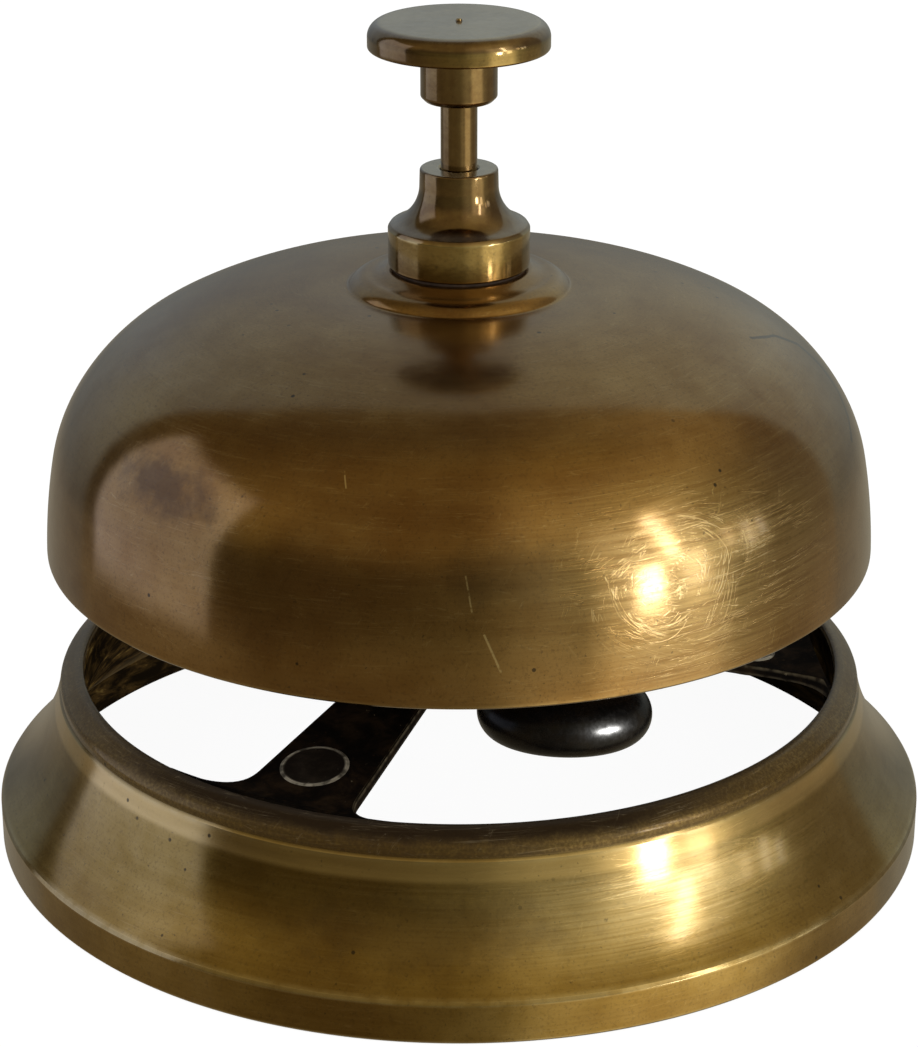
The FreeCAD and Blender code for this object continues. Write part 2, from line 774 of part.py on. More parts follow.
def make_finial_nut():
    turned("finial_nut", [
        (guide_radius, finial_roof),
        (post_radius + running, finial_roof),
        (post_radius + running, finial_low + 0.35),
        (post_radius + 0.4, finial_low),
        (finial_band - 0.2, finial_low),
        (finial_band, finial_low + 0.2),
        (finial_band, finial_crease - 0.15),
        (finial_band - 0.15, finial_crease),
        (6.95, finial_crease + 0.36),
        (6.4, 67.4),
        (4.45, 69.5),
        (4.12, 71.3),
        (finial_neck, finial_top - 0.15),
        (finial_neck - 0.15, finial_top),
        (guide_radius + 0.2, finial_top),
        (guide_radius, finial_top - 0.2),
    ], {9: (2.4, -1)})


# -------------------------------------------------------------------- plunger
def cut_pin_hole(body, name):
    """Drill for the cross pin, across the radial line."""
    hole = (0, crosspin_height, crosspin_radius + small_gap)
    sketch = circle_sketch(body, "XZ_Plane", name + "_pin_hole", hole)
    pocket(body, sketch, name + "_pin_cut")


def make_plunger_rod():
    rod = turned_body("rod", [
        (0, rod_tip),
        (rod_radius, rod_tip + rod_radius),
        (rod_radius, knob_low - small_gap),
        (rod_spigot, knob_low - small_gap),
        (rod_spigot, 84.6),
        (rod_spigot - 0.3, 84.9),
        (0, 84.9),
    ], {0: (rod_radius, 1)})
    cut_pin_hole(rod, "rod")
    finish("plunger_rod", rod, radial)


def make_stop_collar():
    collar = turned_body("collar", [
        (rod_radius + small_gap, collar_low),
        (collar_radius - collar_bevel, collar_low),
        (collar_radius, collar_low + collar_bevel),
        (collar_radius, collar_high - collar_bevel),
        (collar_radius - collar_bevel, collar_high),
        (rod_radius + small_gap, collar_high),
    ])
    cut_pin_hole(collar, "collar")
    finish("stop_collar", collar, radial)


def make_collar_pin():
    turned("collar_pin", [
        (0, -crosspin_half),
        (crosspin_radius - crosspin_bevel, -crosspin_half),
        (crosspin_radius, crosspin_bevel - crosspin_half),
        (crosspin_radius, crosspin_half - crosspin_bevel),
        (crosspin_radius - crosspin_bevel, crosspin_half),
        (0, crosspin_half),
    ], placement=radial * place(z=crosspin_height.value, axis=X_AXIS, angle=90))


def make_push_knob():
    turned("push_knob", [
        (knob_bore, knob_low),
        (knob_neck - knob_edge, knob_low),
        (knob_neck, knob_low + knob_edge),
        (knob_neck, knob_under - knob_fillet),
        (knob_neck + knob_fillet, knob_under),
        (knob_radius - knob_edge, knob_under),
        (knob_radius, knob_under + knob_edge),
        (knob_radius, knob_top - knob_round),
        (knob_radius - knob_round, knob_top),
        (0.5, knob_top),
        (0, knob_top - 0.45),
        (0, 85.5),
        (knob_bore, 85.0),
    ], {1: (knob_edge, 1), 3: (knob_fillet, -1), 5: (knob_edge, 1), 7: (knob_round, 1)})


def make_plunger_spring():
    """Round wire wound about the rod, between the post's seat and the collar."""
    low = spring_seat + spring_wire + small_gap
    height = collar_low - spring_wire - small_gap - low
    coil = doc.addObject("Part::Helix", "spring_coil")
    bind(coil, "Radius", spring_mean)
    bind(coil, "Height", height)
    bind(coil, "Pitch", height / spring_turns)
    coil.Placement = place(z=low.value)
    section = doc.addObject("Part::Circle", "spring_wire_section")
    bind(section, "Radius", spring_wire)
    section.Placement = place(spring_mean.value, 0, low.value, X_AXIS, 90)
    spring = doc.addObject("Part::Sweep", "spring_sweep")
    spring.Sections = [section]
    doc.recompute()
    spring.Spine = (coil, [f"Edge{i + 1}" for i in range(len(coil.Shape.Edges))])
    spring.Solid = True
    spring.Frenet = True
    finish("plunger_spring", spring)


# ----------------------------------------------------------- lever and hammer
def make_lever_core():
    """The bent strap and the boss about the pivot."""
    core = new_body("lever_core")
    strap = [
        (-3.0, pivot_height + 2.0),
        (pivot_out - 2.0, pivot_height + 2.0),
        (19.6, 39.4),
        (26.4, 36.0),
        (30.5, 32.6),
        (30.5, 30.6),
        (27.4, 31.2),
        (24.6, 33.0),
        (19.4, 35.9),
        (15.0, 35.7),
        (11.0, 37.0),
        (-3.0, 37.4),
    ]
    sketch = outline(core, "XZ_Plane", "lever_side", strap, {2: (16.0, -1), 3: (9.0, -1)})
    pad(core, sketch, "lever_strap", lever_wide, symmetric=True)
    sketch = circle_sketch(core, "XZ_Plane", "lever_eye", (pivot_out, pivot_height, lever_boss))
    pad(core, sketch, "lever_boss", lever_boss_wide, symmetric=True)
    doc.recompute()
    return core


def make_hammer_lever():
    core = make_lever_core()
    on_hammer = hammer_seat * place(z=(hammer_half + face_gap).value)
    palm = cylinder("lever_palm", palm_radius, palm_thick, on_hammer)
    neck = doc.addObject("Part::Cone", "lever_neck")
    bind(neck, "Radius1", neck_low)
    bind(neck, "Radius2", neck_up)
    bind(neck, "Height", neck_tall)
    neck.Placement = on_hammer
    tap = cylinder("lever_tap", tap_radius, tap_deep,
                   hammer_seat * place(z=(hammer_half - 0.1).value))
    bearing = cylinder("lever_bearing", pin_radius + pivot_gap, bearing_cut,
                       place(pivot_out.value, (bearing_cut / 2).value, pivot_height.value,
                             X_AXIS, 90))
    solid = fuse("lever_sum", [core, palm, neck], refine=True)
    tools = fuse("lever_tools", [tap, bearing])
    finish("hammer_lever", cut("lever_cut", solid, tools, refine=True), radial)


def make_hammer_head():
    """A round-edged disc, countersunk from below."""
    face_radius = hammer_radius - hammer_half
    turned("hammer_head", [
        (sink_wide, -hammer_half),
        (face_radius, -hammer_half),
        (hammer_radius, 0),
        (face_radius, hammer_half),
        (shank_hole, hammer_half),
        (shank_hole, sink_deep - hammer_half),
    ], {1: (hammer_half, 1), 2: (hammer_half, 1)}, radial * hammer_seat)


def cut_slot(body, name, half, low, high):
    """A screwdriver slot right across a screw head."""
    corners = [(-half, low), (half, low), (half, high), (-half, high)]
    pocket(body, outline(body, "XZ_Plane", name, corners), name + "_cut")


def make_hammer_screw():
    screw = turned_body("screw", [
        (0, -hammer_half - small_gap),
        (sink_wide - 0.2, -hammer_half - small_gap),
        (sink_wide - 0.12, 0.12 - hammer_half),
        (screw_shank, sink_deep - hammer_half),
        (screw_shank, hammer_half + 3.5),
        (screw_shank - 0.3, hammer_half + 3.8),
        (0, hammer_half + 3.8),
    ])
    cut_slot(screw, "screw_slot", 0.35, -1.0 - hammer_half, 0.6 - hammer_half)
    finish("hammer_screw", screw, radial * hammer_seat)


# --------------------------------------------------------------- pivot pieces
def make_pivot_screw():
    pivot = turned_body("pivot", [
        (0, -9.4),
        (pin_radius - 0.3, -9.4),
        (pin_radius, -9.1),
        (pin_radius, cheek_out + small_gap),
        (pivot_head, cheek_out + small_gap),
        (pivot_head, cheek_out + 1.2),
        (pivot_head - 0.6, cheek_out + 1.8),
        (0, cheek_out + 1.95),
    ])
    cut_slot(pivot, "pivot_slot", 0.4, cheek_out + 1.0, cheek_out + 4.0)
    finish("pivot_screw", pivot, across_pivot)


def make_pivot_nut():
    high = -cheek_out - small_gap
    hex_nut("pivot_nut", pivot_nut_corner, high - pivot_nut_thick, high,
            pin_radius + 0.04, pivot_nut_chamfer, across_pivot)


def make_pivot_washers():
    """One on each side of the lever's boss."""
    near = lever_boss_wide / 2 + pivot_washer_gap
    washers = []
    for k, low in enumerate((near, -near - pivot_washer_thick), 1):
        section = washer_section(pin_radius + pivot_gap, pivot_washer_radius,
                                 low, low + pivot_washer_thick)
        washer = spun_body(f"pivot_washer_{k}", f"pivot_washer_section_{k}",
                           f"pivot_washer_turn_{k}", section)
        washer.Placement = across_pivot
        washers.append(washer)
    finish("pivot_washers", compound("washer_set", washers), solids=2)


# --------------------------------------------------------------------- export
def export_pieces():
    doc.recompute()
    bad = [obj.Name for obj in doc.Objects if "Invalid" in obj.State or "Error" in obj.State]
    if bad:
        raise RuntimeError("failed objects: " + ", ".join(bad))
    for name, (obj, solids) in pieces.items():
        shape = obj.Shape
        if shape.isNull() or not shape.isValid():
            raise RuntimeError("bad shape: " + name)
        if len(shape.Solids) != solids:
            raise RuntimeError(f"{name} has {len(shape.Solids)} solids")
    for name, (obj, _) in pieces.items():
        obj.Shape.exportStep(f"parts/{name}.step")


make_base_casting()
make_arm_rivets()
make_frame()
make_frame_fixings()
make_post()
make_dome_washers()
make_dome()
make_finial_nut()
make_plunger_rod()
make_stop_collar()
make_collar_pin()
make_push_knob()
make_plunger_spring()
make_hammer_lever()
make_hammer_head()
make_hammer_screw()
make_pivot_screw()
make_pivot_nut()
make_pivot_washers()
export_pieces()
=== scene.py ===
"""A brass desk bell: a domed shell with a finial nut and a push knob on top, over a turned
base ring that carries a hub on three arms, and a hammer disc under the dome.

The bell stands on z = 0 with its axis on Z. The front is -Y and the right is +X.
Outlines are in millimetres and meshes in metres.
"""
import math
from functools import reduce
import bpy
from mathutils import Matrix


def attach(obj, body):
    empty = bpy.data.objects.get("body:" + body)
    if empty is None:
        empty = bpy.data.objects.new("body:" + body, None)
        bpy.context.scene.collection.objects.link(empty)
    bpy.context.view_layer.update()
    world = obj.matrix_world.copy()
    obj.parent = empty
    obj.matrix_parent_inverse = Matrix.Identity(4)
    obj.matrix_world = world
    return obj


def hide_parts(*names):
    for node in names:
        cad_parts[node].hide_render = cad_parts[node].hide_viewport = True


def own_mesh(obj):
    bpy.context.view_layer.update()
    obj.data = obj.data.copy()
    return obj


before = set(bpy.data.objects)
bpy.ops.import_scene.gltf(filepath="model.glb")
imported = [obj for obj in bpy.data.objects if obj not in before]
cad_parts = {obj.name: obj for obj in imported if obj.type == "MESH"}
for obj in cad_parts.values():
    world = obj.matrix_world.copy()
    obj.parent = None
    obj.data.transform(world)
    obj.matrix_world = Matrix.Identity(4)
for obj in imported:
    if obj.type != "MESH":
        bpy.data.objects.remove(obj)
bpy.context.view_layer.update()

from types import SimpleNamespace

import bmesh
import bpy
import numpy as np
from mathutils import Matrix, Vector

MM = 0.001
SCENE = bpy.context.scene

# ------------------------------------------------------------- sizes, mm and degrees
DOME_RIM = 32.35            # height of the dome's lower edge
RING_BORE = 40.4            # inner radius at the top of the base ring

HUB_LIP = 10.7              # radius where the arms leave the hub
ARM_COUNT = 3
ARM_ANGLE = -117.5          # first arm, from +X
ARM_THICK = 1.2
ARM_ROUND = 0.25            # rounding of the arms' long edges
ARM_SLOPE = 0.155           # fall of the arms per mm outwards
ARM_BEND = 34.6             # radius where the arms begin to turn up
RIVET_RADIUS, RIVET_ASIDE = 30.98, -0.17   # rivet centre, along and across its arm

HEAD_RADIUS, HEAD_HALF = 8.68, 2.8         # hammer disc: radius and half thickness
HEAD_OUT, HEAD_HEIGHT = 30.34, 25.0        # its centre
HEAD_ANGLE = -69.9          # its direction, from +X

# ------------------------------------------------------------------ turned profiles
AXIS = 1e-6                 # a point nearer the axis than this lies on it
SLIGHT_TURN = 0.16          # radians; corners that turn less aren't rounded
ARC_TURN = 0.16             # radians; longest step round an arc
TIGHT = 0.3                 # corners rounded by more than this carry no wear or dirt
LINE_PITCH = 3.0            # longest step along a straight side
END_GAP = 0.22              # extra points this far from the ends of a straight side
LONG_LINE = 0.9             # sides longer than this get them
MERGE = 0.004               # points closer than this become one


def sample_arc(start, end, radius, side, step):
    """Points on an arc whose centre is left (side 1) or right (side -1) of its chord."""
    chord = end - start
    span = np.hypot(*chord)
    left = np.array([-chord[1], chord[0]]) / span
    rise = math.sqrt(max(radius * radius - span * span / 4, 0))
    centre = (start + end) / 2 + left * side * rise
    first = math.atan2(*(start - centre)[::-1])
    last = math.atan2(*(end - centre)[::-1])
    if side > 0 and last < first:
        last += 2 * math.pi
    if side < 0 and last > first:
        last -= 2 * math.pi
    sweep = abs(last - first)
    count = max(3, math.ceil(sweep * radius / step), math.ceil(sweep / ARC_TURN))
    angles = np.linspace(first, last, count + 1)
    points = centre + radius * np.c_[np.cos(angles), np.sin(angles)]
    points[0], points[-1] = start, end
    return points


def sample_line(start, end):
    span = np.hypot(*(end - start))
    inner = int(span // LINE_PITCH)
    shares = {0.0, 1.0} | {k / (inner + 1) for k in range(1, inner + 1)}
    if span > LONG_LINE:
        shares |= {END_GAP / span, 1 - END_GAP / span}
    return start + np.outer(sorted(shares), end - start)


def sample_sides(corners, arcs, step):
    """One polyline for each side of a closed outline; side i starts at corner i."""
    spots = [np.array(corner[:2], float) for corner in corners]
    sides = []
    for i, start in enumerate(spots):
        end = spots[(i + 1) % len(spots)]
        sides.append(sample_arc(start, end, *arcs[i], step) if i in arcs else sample_line(start, end))
    return sides


def trim(points, cut):
    """The polyline without the first `cut` of its length."""
    lengths = np.hypot(*np.diff(points, axis=0).T)
    reached = np.r_[0, np.cumsum(lengths)]
    cut = min(cut, reached[-1] * 0.45)
    i = min(int(np.searchsorted(reached, cut, side="right")) - 1, len(lengths) - 1)
    share = (cut - reached[i]) / lengths[i]
    start = points[i] + share * (points[i + 1] - points[i])
    rest = points[i + 1:]
    if np.hypot(*(rest[0] - start)) < 0.02 and len(rest) > 1:
        rest = rest[1:]
    return np.vstack([start, rest])


def profile(corners, arcs, step, rounding):
    """Points of a closed half section, and a mark for each: positive on outside edges,
    negative in inside corners, 0 elsewhere."""
    sides = sample_sides(corners, arcs, step)
    count = len(corners)
    turns, edges, cuts = [], [], []
    for i, corner in enumerate(corners):
        before = sides[i - 1][-1] - sides[i - 1][-2]
        after = sides[i][1] - sides[i][0]
        before = before / np.hypot(*before)
        after = after / np.hypot(*after)
        turn = math.atan2(before[0] * after[1] - before[1] * after[0], before @ after)
        radius = corner[2] if len(corner) > 2 else rounding
        if corner[0] < AXIS or abs(turn) < SLIGHT_TURN:
            radius = 0.0
        turns.append(turn)
        edges.append(math.copysign(1.0 if radius <= TIGHT else 0.0, turn))
        cuts.append(radius * math.tan(min(abs(turn), 2.6) / 2))
    for i in range(count):
        if cuts[i] > 0:
            sides[i] = trim(sides[i], cuts[i])
        if cuts[(i + 1) % count] > 0:
            sides[i] = trim(sides[i][::-1], cuts[(i + 1) % count])[::-1]
    points, marks = [], []
    for i in range(count):
        if cuts[i] > 0:
            start, end = sides[i - 1][-1], sides[i][0]
            corner = np.array(corners[i][:2], float)
            steps = max(3, min(8, int(abs(turns[i]) / 0.3) + 1))
            for t in np.linspace(0, 1, steps + 1)[1:-1]:
                points.append((1 - t) ** 2 * start + 2 * t * (1 - t) * corner + t * t * end)
                marks.append(edges[i])
        points.append(sides[i][0])
        marks.append(0.6 * edges[i] if cuts[i] > 0 else 0.0)
        for point in sides[i][1:-1]:
            points.append(point)
            marks.append(0.0)
        after = (i + 1) % count
        if cuts[after] > 0:
            points.append(sides[i][-1])
            marks.append(0.6 * edges[after])
    points, marks = np.array(points), np.array(marks)
    keep = [0]
    for i in range(1, len(points)):
        if np.hypot(*(points[i] - points[keep[-1]])) > MERGE:
            keep.append(i)
    if np.hypot(*(points[keep[-1]] - points[0])) < MERGE:
        keep.pop()
    return points[keep], marks[keep]


def profile_normals(points):
    """Outward (r, z) normals; points on the axis face straight up or down."""
    ahead = np.roll(points, -1, 0) - points
    ahead = ahead / np.hypot(*ahead.T)[:, None]
    tangent = np.roll(ahead, 1, 0) + ahead
    tangent /= np.maximum(np.hypot(*tangent.T), 1e-9)[:, None]
    normals = np.c_[tangent[:, 1], -tangent[:, 0]]
    heights = points[:, 1]
    for i in np.where(points[:, 0] < AXIS)[0]:
        above = heights[i] > heights[(i + 1) % len(points)] or heights[i] > heights[i - 1]
        normals[i] = (0, 1 if above else -1)
    return normals


def lathe(name, corners, arcs=None, segments=256, step=0.5, rounding=0.06, matrix=None):
    """A turned piece as one closed mesh with exact normals.

    corners: (r, z) or (r, z, rounding), anticlockwise in the half plane.
    arcs: {i: (radius, side)} bends the side that starts at corner i; see sample_arc.
    """
    points, marks = profile(corners, arcs or {}, step, rounding)
    ahead = np.roll(points, -1, 0)
    if np.sum(points[:, 0] * ahead[:, 1] - ahead[:, 0] * points[:, 1]) < 0:
        raise RuntimeError(name + ": corners run clockwise")
    circle = [
        (math.cos(angle), math.sin(angle))
        for angle in np.linspace(0, 2 * math.pi, segments, endpoint=False)
    ]
    verts, norms, wear, dirt, rings = [], [], [], [], []
    for (radius, height), (out, up), mark in zip(points, profile_normals(points), marks):
        spots = [(0.0, 0.0)] if radius < AXIS else circle
        rings.append(range(len(verts), len(verts) + len(spots)))
        for cos, sin in spots:
            verts.append((radius * cos * MM, radius * sin * MM, height * MM))
            norms.append((out * cos, out * sin, up))
            wear.append(max(mark, 0.0))
            dirt.append(max(-mark, 0.0))
    faces = []
    for this, other in zip(rings, rings[1:] + rings[:1]):
        if len(this) == 1 and len(other) == 1:
            continue
        for k in range(segments):
            k2 = (k + 1) % segments
            if len(this) == 1:
                faces.append((this[0], other[k2], other[k]))
            elif len(other) == 1:
                faces.append((this[k], this[k2], other[0]))
            else:
                faces.append((this[k], this[k2], other[k2], other[k]))
    return make_mesh(name, verts, faces, norms, wear, dirt, matrix)


def make_mesh(name, verts, faces, norms=None, wear=None, dirt=None, matrix=None):
    """A smooth object with wear and dirt attributes; vertices in no face are dropped."""
    used = sorted({i for face in faces for i in face})
    if len(used) < len(verts):
        new = {old: k for k, old in enumerate(used)}
        faces = [tuple(new[i] for i in face) for face in faces]
        verts, norms, wear, dirt = (
            [data[i] for i in used] if data is not None else None
            for data in (verts, norms, wear, dirt)
        )
    mesh = bpy.data.meshes.new(name)
    mesh.from_pydata(verts, [], faces)
    mesh.update()
    for label, data in (("wear", wear), ("dirt", dirt)):
        attribute = mesh.attributes.new(label, "FLOAT", "POINT")
        values = np.zeros(len(verts)) if data is None else data
        attribute.data.foreach_set("value", np.array(values, np.float32))
    ob = bpy.data.objects.new(name, mesh)
    SCENE.collection.objects.link(ob)
    for face in mesh.polygons:
        face.use_smooth = True
    if matrix is not None:
        mesh.transform(matrix)
        turn = matrix.to_3x3()
        norms = [turn @ Vector(normal) for normal in norms]
    if norms is not None:
        mesh.normals_split_custom_set_from_vertices([tuple(normal) for normal in norms])
    return ob


def register(ob, part, rides):
    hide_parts(part)
    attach(ob, rides)
    return ob


# ------------------------------------------------------------- dome, nut and plunger
def make_dome():
    corners = [
        (41.95, DOME_RIM, 0.15), (43.35, DOME_RIM, 0.12), (43.56, DOME_RIM + 0.22, 0.15),
        # outside, upwards
        (43.572, 32.89), (42.559, 42.145), (40.704, 47.333), (32.557, 55.397),
        (22.995, 58.924), (11.5, 60.07, 0.5), (8.9, 61.35, 2.4), (7.4, 61.95, 0.8),
        # hole
        (4.75, 61.95), (4.75, 60.35),
        # inside, downwards
        (7.7, 60.35, 0.5), (10.2, 58.8, 0.8), (11.783, 58.451), (22.655, 57.36),
        (31.801, 53.987), (39.302, 46.562), (40.986, 41.852), (41.973, 32.836),
    ]
    arcs = {
        3: (62.1, 1), 4: (17.36, 1), 5: (20.19, 1), 6: (36.75, 1), 7: (49.51, 1), 8: (2.6, 1),
        15: (47.91, -1), 16: (35.15, -1), 17: (18.59, -1), 18: (15.76, -1), 19: (60.5, -1),
    }
    ob = lathe("dome_shell", corners, arcs, segments=360, step=0.6)
    return register(ob, "bell_dome", "base")


def make_finial():
    corners = [
        (4.55, 67.2), (4.55, 62.6), (4.9, 62.25), (7.1, 62.25, 0.1), (7.3, 62.45, 0.18),
        (7.3, 66.25, 0.2), (7.05, 66.64, 0.31), (6.6, 66.85, 0.3), (4.05, 70.75),
        (4.0, 72.5, 0.32), (2.14, 72.5), (1.94, 72.3), (1.94, 67.2),
    ]
    ob = lathe("finial_turned", corners, {7: (4.256, -1)}, step=0.16)
    return register(ob, "finial_nut", "base")


def make_knob():
    corners = [
        (1.54, 79.45), (3.4, 79.45, 0.31), (3.9, 79.95, 0.31), (3.9, 84.55), (4.15, 84.8),
        (8.92, 84.8), (9.22, 85.1), (9.22, 86.03), (7.72, 87.53, 0.35), (0.36, 87.53, 0.06),
        (0.27, 87.80, 0.08), (0.0, 87.88), (0.0, 85.5), (1.54, 85.0),
    ]
    arcs = {3: (0.25, -1), 5: (0.3, 1), 7: (1.5, 1)}
    ob = lathe("knob_turned", corners, arcs, step=0.12)
    return register(ob, "push_knob", "plunger")


def make_rod():
    radius, foot = 1.87, 39.65
    corners = [
        (0.0, foot), (radius, foot + radius), (radius, 79.43, 0.1), (1.5, 79.43),
        (1.5, 84.9, 0.1), (0.0, 84.95),
    ]
    ob = lathe("rod_turned", corners, {0: (radius, 1)}, segments=96, step=0.2, rounding=0.04)
    return register(ob, "plunger_rod", "plunger")


def make_spring():
    mean, wire = 2.55, 0.25         # radii of the coil and of its wire
    low, high, turns = 49.27, 63.83, 11
    around, per_turn = 16, 72       # points round the wire, rings per turn
    last = turns * per_turn
    lead = math.atan2((high - low) / turns, 2 * math.pi * mean)
    verts, norms = [], []
    for i in range(last + 1):
        angle = 2 * math.pi * turns * i / last
        cos, sin = math.cos(angle), math.sin(angle)
        out = Vector((cos, sin, 0))
        along = Vector((-sin * math.cos(lead), cos * math.cos(lead), math.sin(lead)))
        down = along.cross(out)
        middle = Vector((mean * cos, mean * sin, low + (high - low) * i / last))
        for k in range(around):
            turn = 2 * math.pi * k / around
            normal = out * math.cos(turn) - down * math.sin(turn)
            verts.append((middle + normal * wire) * MM)
            norms.append(normal)
    faces = tube_faces(last + 1, around)
    faces.append(tuple(range(around)))
    faces.append(tuple(range(last * around, (last + 1) * around))[::-1])
    ob = make_mesh("return_spring", verts, faces, norms)
    register(ob, "plunger_spring", "base")
    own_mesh(ob)
    return ob


def tube_faces(rings, around):
    """Quads between consecutive rings of points."""
    faces = []
    for i in range(rings - 1):
        here, ahead = i * around, (i + 1) * around
        for k in range(around):
            k2 = (k + 1) % around
            faces.append((here + k, ahead + k, ahead + k2, here + k2))
    return faces


# ----------------------------------------------------------------------------- base
def make_ring():
    corners = [
        (47.9, 0.0, 0.2), (49.65, 0.0, 0.12), (49.95, 0.3, 0.15), (49.95, 4.25, 0.14),
        (49.73, 4.6, 0.14), (43.16, 16.05, 0.06), (42.95, 16.35, 0.06), (42.99, 16.9),
        (42.60, 17.75), (41.6, 18.60), (40.8, 18.89), (RING_BORE, 18.49), (RING_BORE, 13.9),
        (47.6, 4.0),
    ]
    arcs = {4: (22.3, -1), 7: (1.03, 1), 9: (1.23, 1), 10: (0.4, 1), 12: (24.5, 1)}
    ob = lathe("base_ring", corners, arcs, segments=420, step=0.5, rounding=0.1)
    return register(ob, "base_casting", "base")


def arm_top(radius):
    """Top of the arms: a shallow cone that turns up towards the ring."""
    radius = min(radius, 40.6)
    past_bend = max(radius - ARM_BEND, 0.0)
    return 18.5 + ARM_SLOPE * (30.0 - radius) + 0.0544 * past_bend**2


def arm_low(radius):
    return arm_top(min(radius, 36.0)) - ARM_THICK


def make_hub():
    bore, foot, head = 4.1, 17.2, 21.8
    neck, edge = 9.9, HUB_LIP - 0.01
    corners = [
        (bore, foot), (9.2, foot, 0.3), (neck, arm_low(neck), 0.4),
        (edge, arm_low(edge) + 0.02, 0.2), (edge, arm_top(edge) - 0.03, 0.2),
        (neck, arm_top(neck) - 0.02, 0.2), (9.3, head, 0.15), (bore, head, 0.15),
    ]
    ob = lathe("base_hub", corners, segments=192, step=0.4)
    return register(ob, "base_casting", "base")


def fillet_points(centre, radius, start, end, count):
    first, last = (math.atan2(p[1] - centre[1], p[0] - centre[0]) for p in (start, end))
    if last < first:
        last += 2 * math.pi
    if last - first > math.pi:
        first += 2 * math.pi
    return [
        centre + radius * np.array((math.cos(angle), math.sin(angle)))
        for angle in np.linspace(first, last, count)
    ]


def arm_side(side, outer_fillet, half_in, half_out):
    """Plan curve of one side of an arm along +X, from the hub's lip into the ring.
    half_in and half_out are the half widths at the hub and at the ring."""
    inner_fillet = 3.0
    start = np.array((math.sqrt(HUB_LIP**2 - half_in**2), half_in))
    end = np.array((math.sqrt(RING_BORE**2 - half_out**2), half_out))
    along = (end - start) / np.hypot(*(end - start))
    normal = np.array((-along[1], along[0]))
    offset = start @ normal

    def fillet(radius, reach, edge):
        """Centre of a fillet, where it leaves the straight and where it meets the edge."""
        run = along * math.sqrt(reach**2 - (offset + radius) ** 2)
        centre = run + normal * (offset + radius)
        return centre, run + normal * offset, centre / np.hypot(*centre) * edge

    centre, foot_in, touch = fillet(inner_fillet, HUB_LIP + inner_fillet, HUB_LIP)
    points = fillet_points(centre, inner_fillet, touch, foot_in, 11)
    centre, foot_out, touch = fillet(outer_fillet, RING_BORE - outer_fillet, RING_BORE)
    points += [foot_in + (foot_out - foot_in) * k for k in np.linspace(0, 1, 24)[1:-1]]
    points += fillet_points(centre, outer_fillet, foot_out, touch, 19)
    points.append(touch * ((RING_BORE + 0.35) / RING_BORE))
    points = np.array(points)
    points[:, 1] *= side
    return points


def arm_section():
    """Cross-section loop as (share across, drop from the top, push inwards, wear)."""
    columns, steps = 26, 4
    shares = [0.5 - 0.5 * math.cos(math.pi * k / (columns - 1)) for k in range(columns)]
    top = [(share, 0.0, 0.0, 0.0) for share in shares]
    top[0] = (0.0, 0.0, -ARM_ROUND, 0.8)
    top[-1] = (1.0, 0.0, ARM_ROUND, 0.8)
    quarter = [
        (ARM_ROUND * (1 - math.cos(a)), ARM_ROUND * (1 - math.sin(a)))
        for a in (math.pi / 2 * k / steps for k in range(steps + 1))
    ]
    edge = [
        (1.0, near, far, 1.0 if k < steps else 0.6)
        for k, (near, far) in enumerate(quarter) if k > 0
    ]
    edge += [
        (1.0, ARM_ROUND + (ARM_THICK - 2 * ARM_ROUND) * k, 0.0, 0.0) for k in (0.25, 0.5, 0.75)
    ]
    edge += [(1.0, ARM_THICK - far, near, 0.4) for near, far in quarter]
    under = [(share, ARM_THICK, 0.0, 0.0) for share in reversed(shares[1:-1])]
    mirrored = [(0.0, drop, -push, wear) for _, drop, push, wear in reversed(edge)]
    return top + edge + under + mirrored


def make_arm(number, angle):
    left = arm_side(1, outer_fillet=5.0, half_in=4.0, half_out=7.2)
    right = arm_side(-1, outer_fillet=5.6, half_in=3.2, half_out=5.6)
    section = arm_section()
    cos, sin = math.cos(math.radians(angle)), math.sin(math.radians(angle))
    verts, wear = [], []
    for start, end in zip(left, right):
        across = (end - start) / np.hypot(*(end - start))
        for share, drop, push, worn in section:
            x, y = start + (end - start) * share - across * push
            radius = math.hypot(x, y)
            depth = drop / ARM_THICK
            if drop <= ARM_ROUND:
                z = arm_top(radius) - drop
            else:
                z = arm_top(radius) * (1 - depth) + arm_low(radius) * depth
            verts.append(((x * cos - y * sin) * MM, (x * sin + y * cos) * MM, z * MM))
            wear.append(worn)
    size = len(section)
    faces = tube_faces(len(left), size)
    faces.append(tuple(range(size))[::-1])
    faces.append(tuple(range(len(verts) - size, len(verts))))
    ob = make_mesh("base_arm_%d" % number, verts, faces, wear=wear)
    bm = bmesh.new()
    bm.from_mesh(ob.data)
    bmesh.ops.recalc_face_normals(bm, faces=bm.faces)
    # a negative volume means that every face points inwards
    if bm.calc_volume(signed=True) < 0:
        bmesh.ops.reverse_faces(bm, faces=bm.faces)
    bm.to_mesh(ob.data)
    bm.free()
    ob.data.set_sharp_from_angle(angle=math.radians(50))
    return register(ob, "base_casting", "base")


def make_rivet(number, angle):
    """A rivet square to the sloping top of its arm; heights are from that top."""
    seat = (
        Matrix.Rotation(math.radians(angle), 4, "Z")
        @ Matrix.Translation((RIVET_RADIUS * MM, RIVET_ASIDE * MM, arm_top(RIVET_RADIUS) * MM))
        @ Matrix.Rotation(math.atan(ARM_SLOPE), 4, "Y")
    )
    corners = [
        (0.0, -1.6), (3.9, -1.6, 0.15), (4.2, -1.42, 0.1), (4.2, -1.26, 0.04),
        (3.52, -1.26, 0.03), (3.52, -0.02, 0.05), (3.22, 0.10, 0.1), (2.98, 0.06, 0.15),
        (0.0, 0.09),
    ]
    ob = lathe("arm_rivet_%d" % number, corners, segments=144, step=0.25, matrix=seat)
    return register(ob, "arm_rivets", "base")


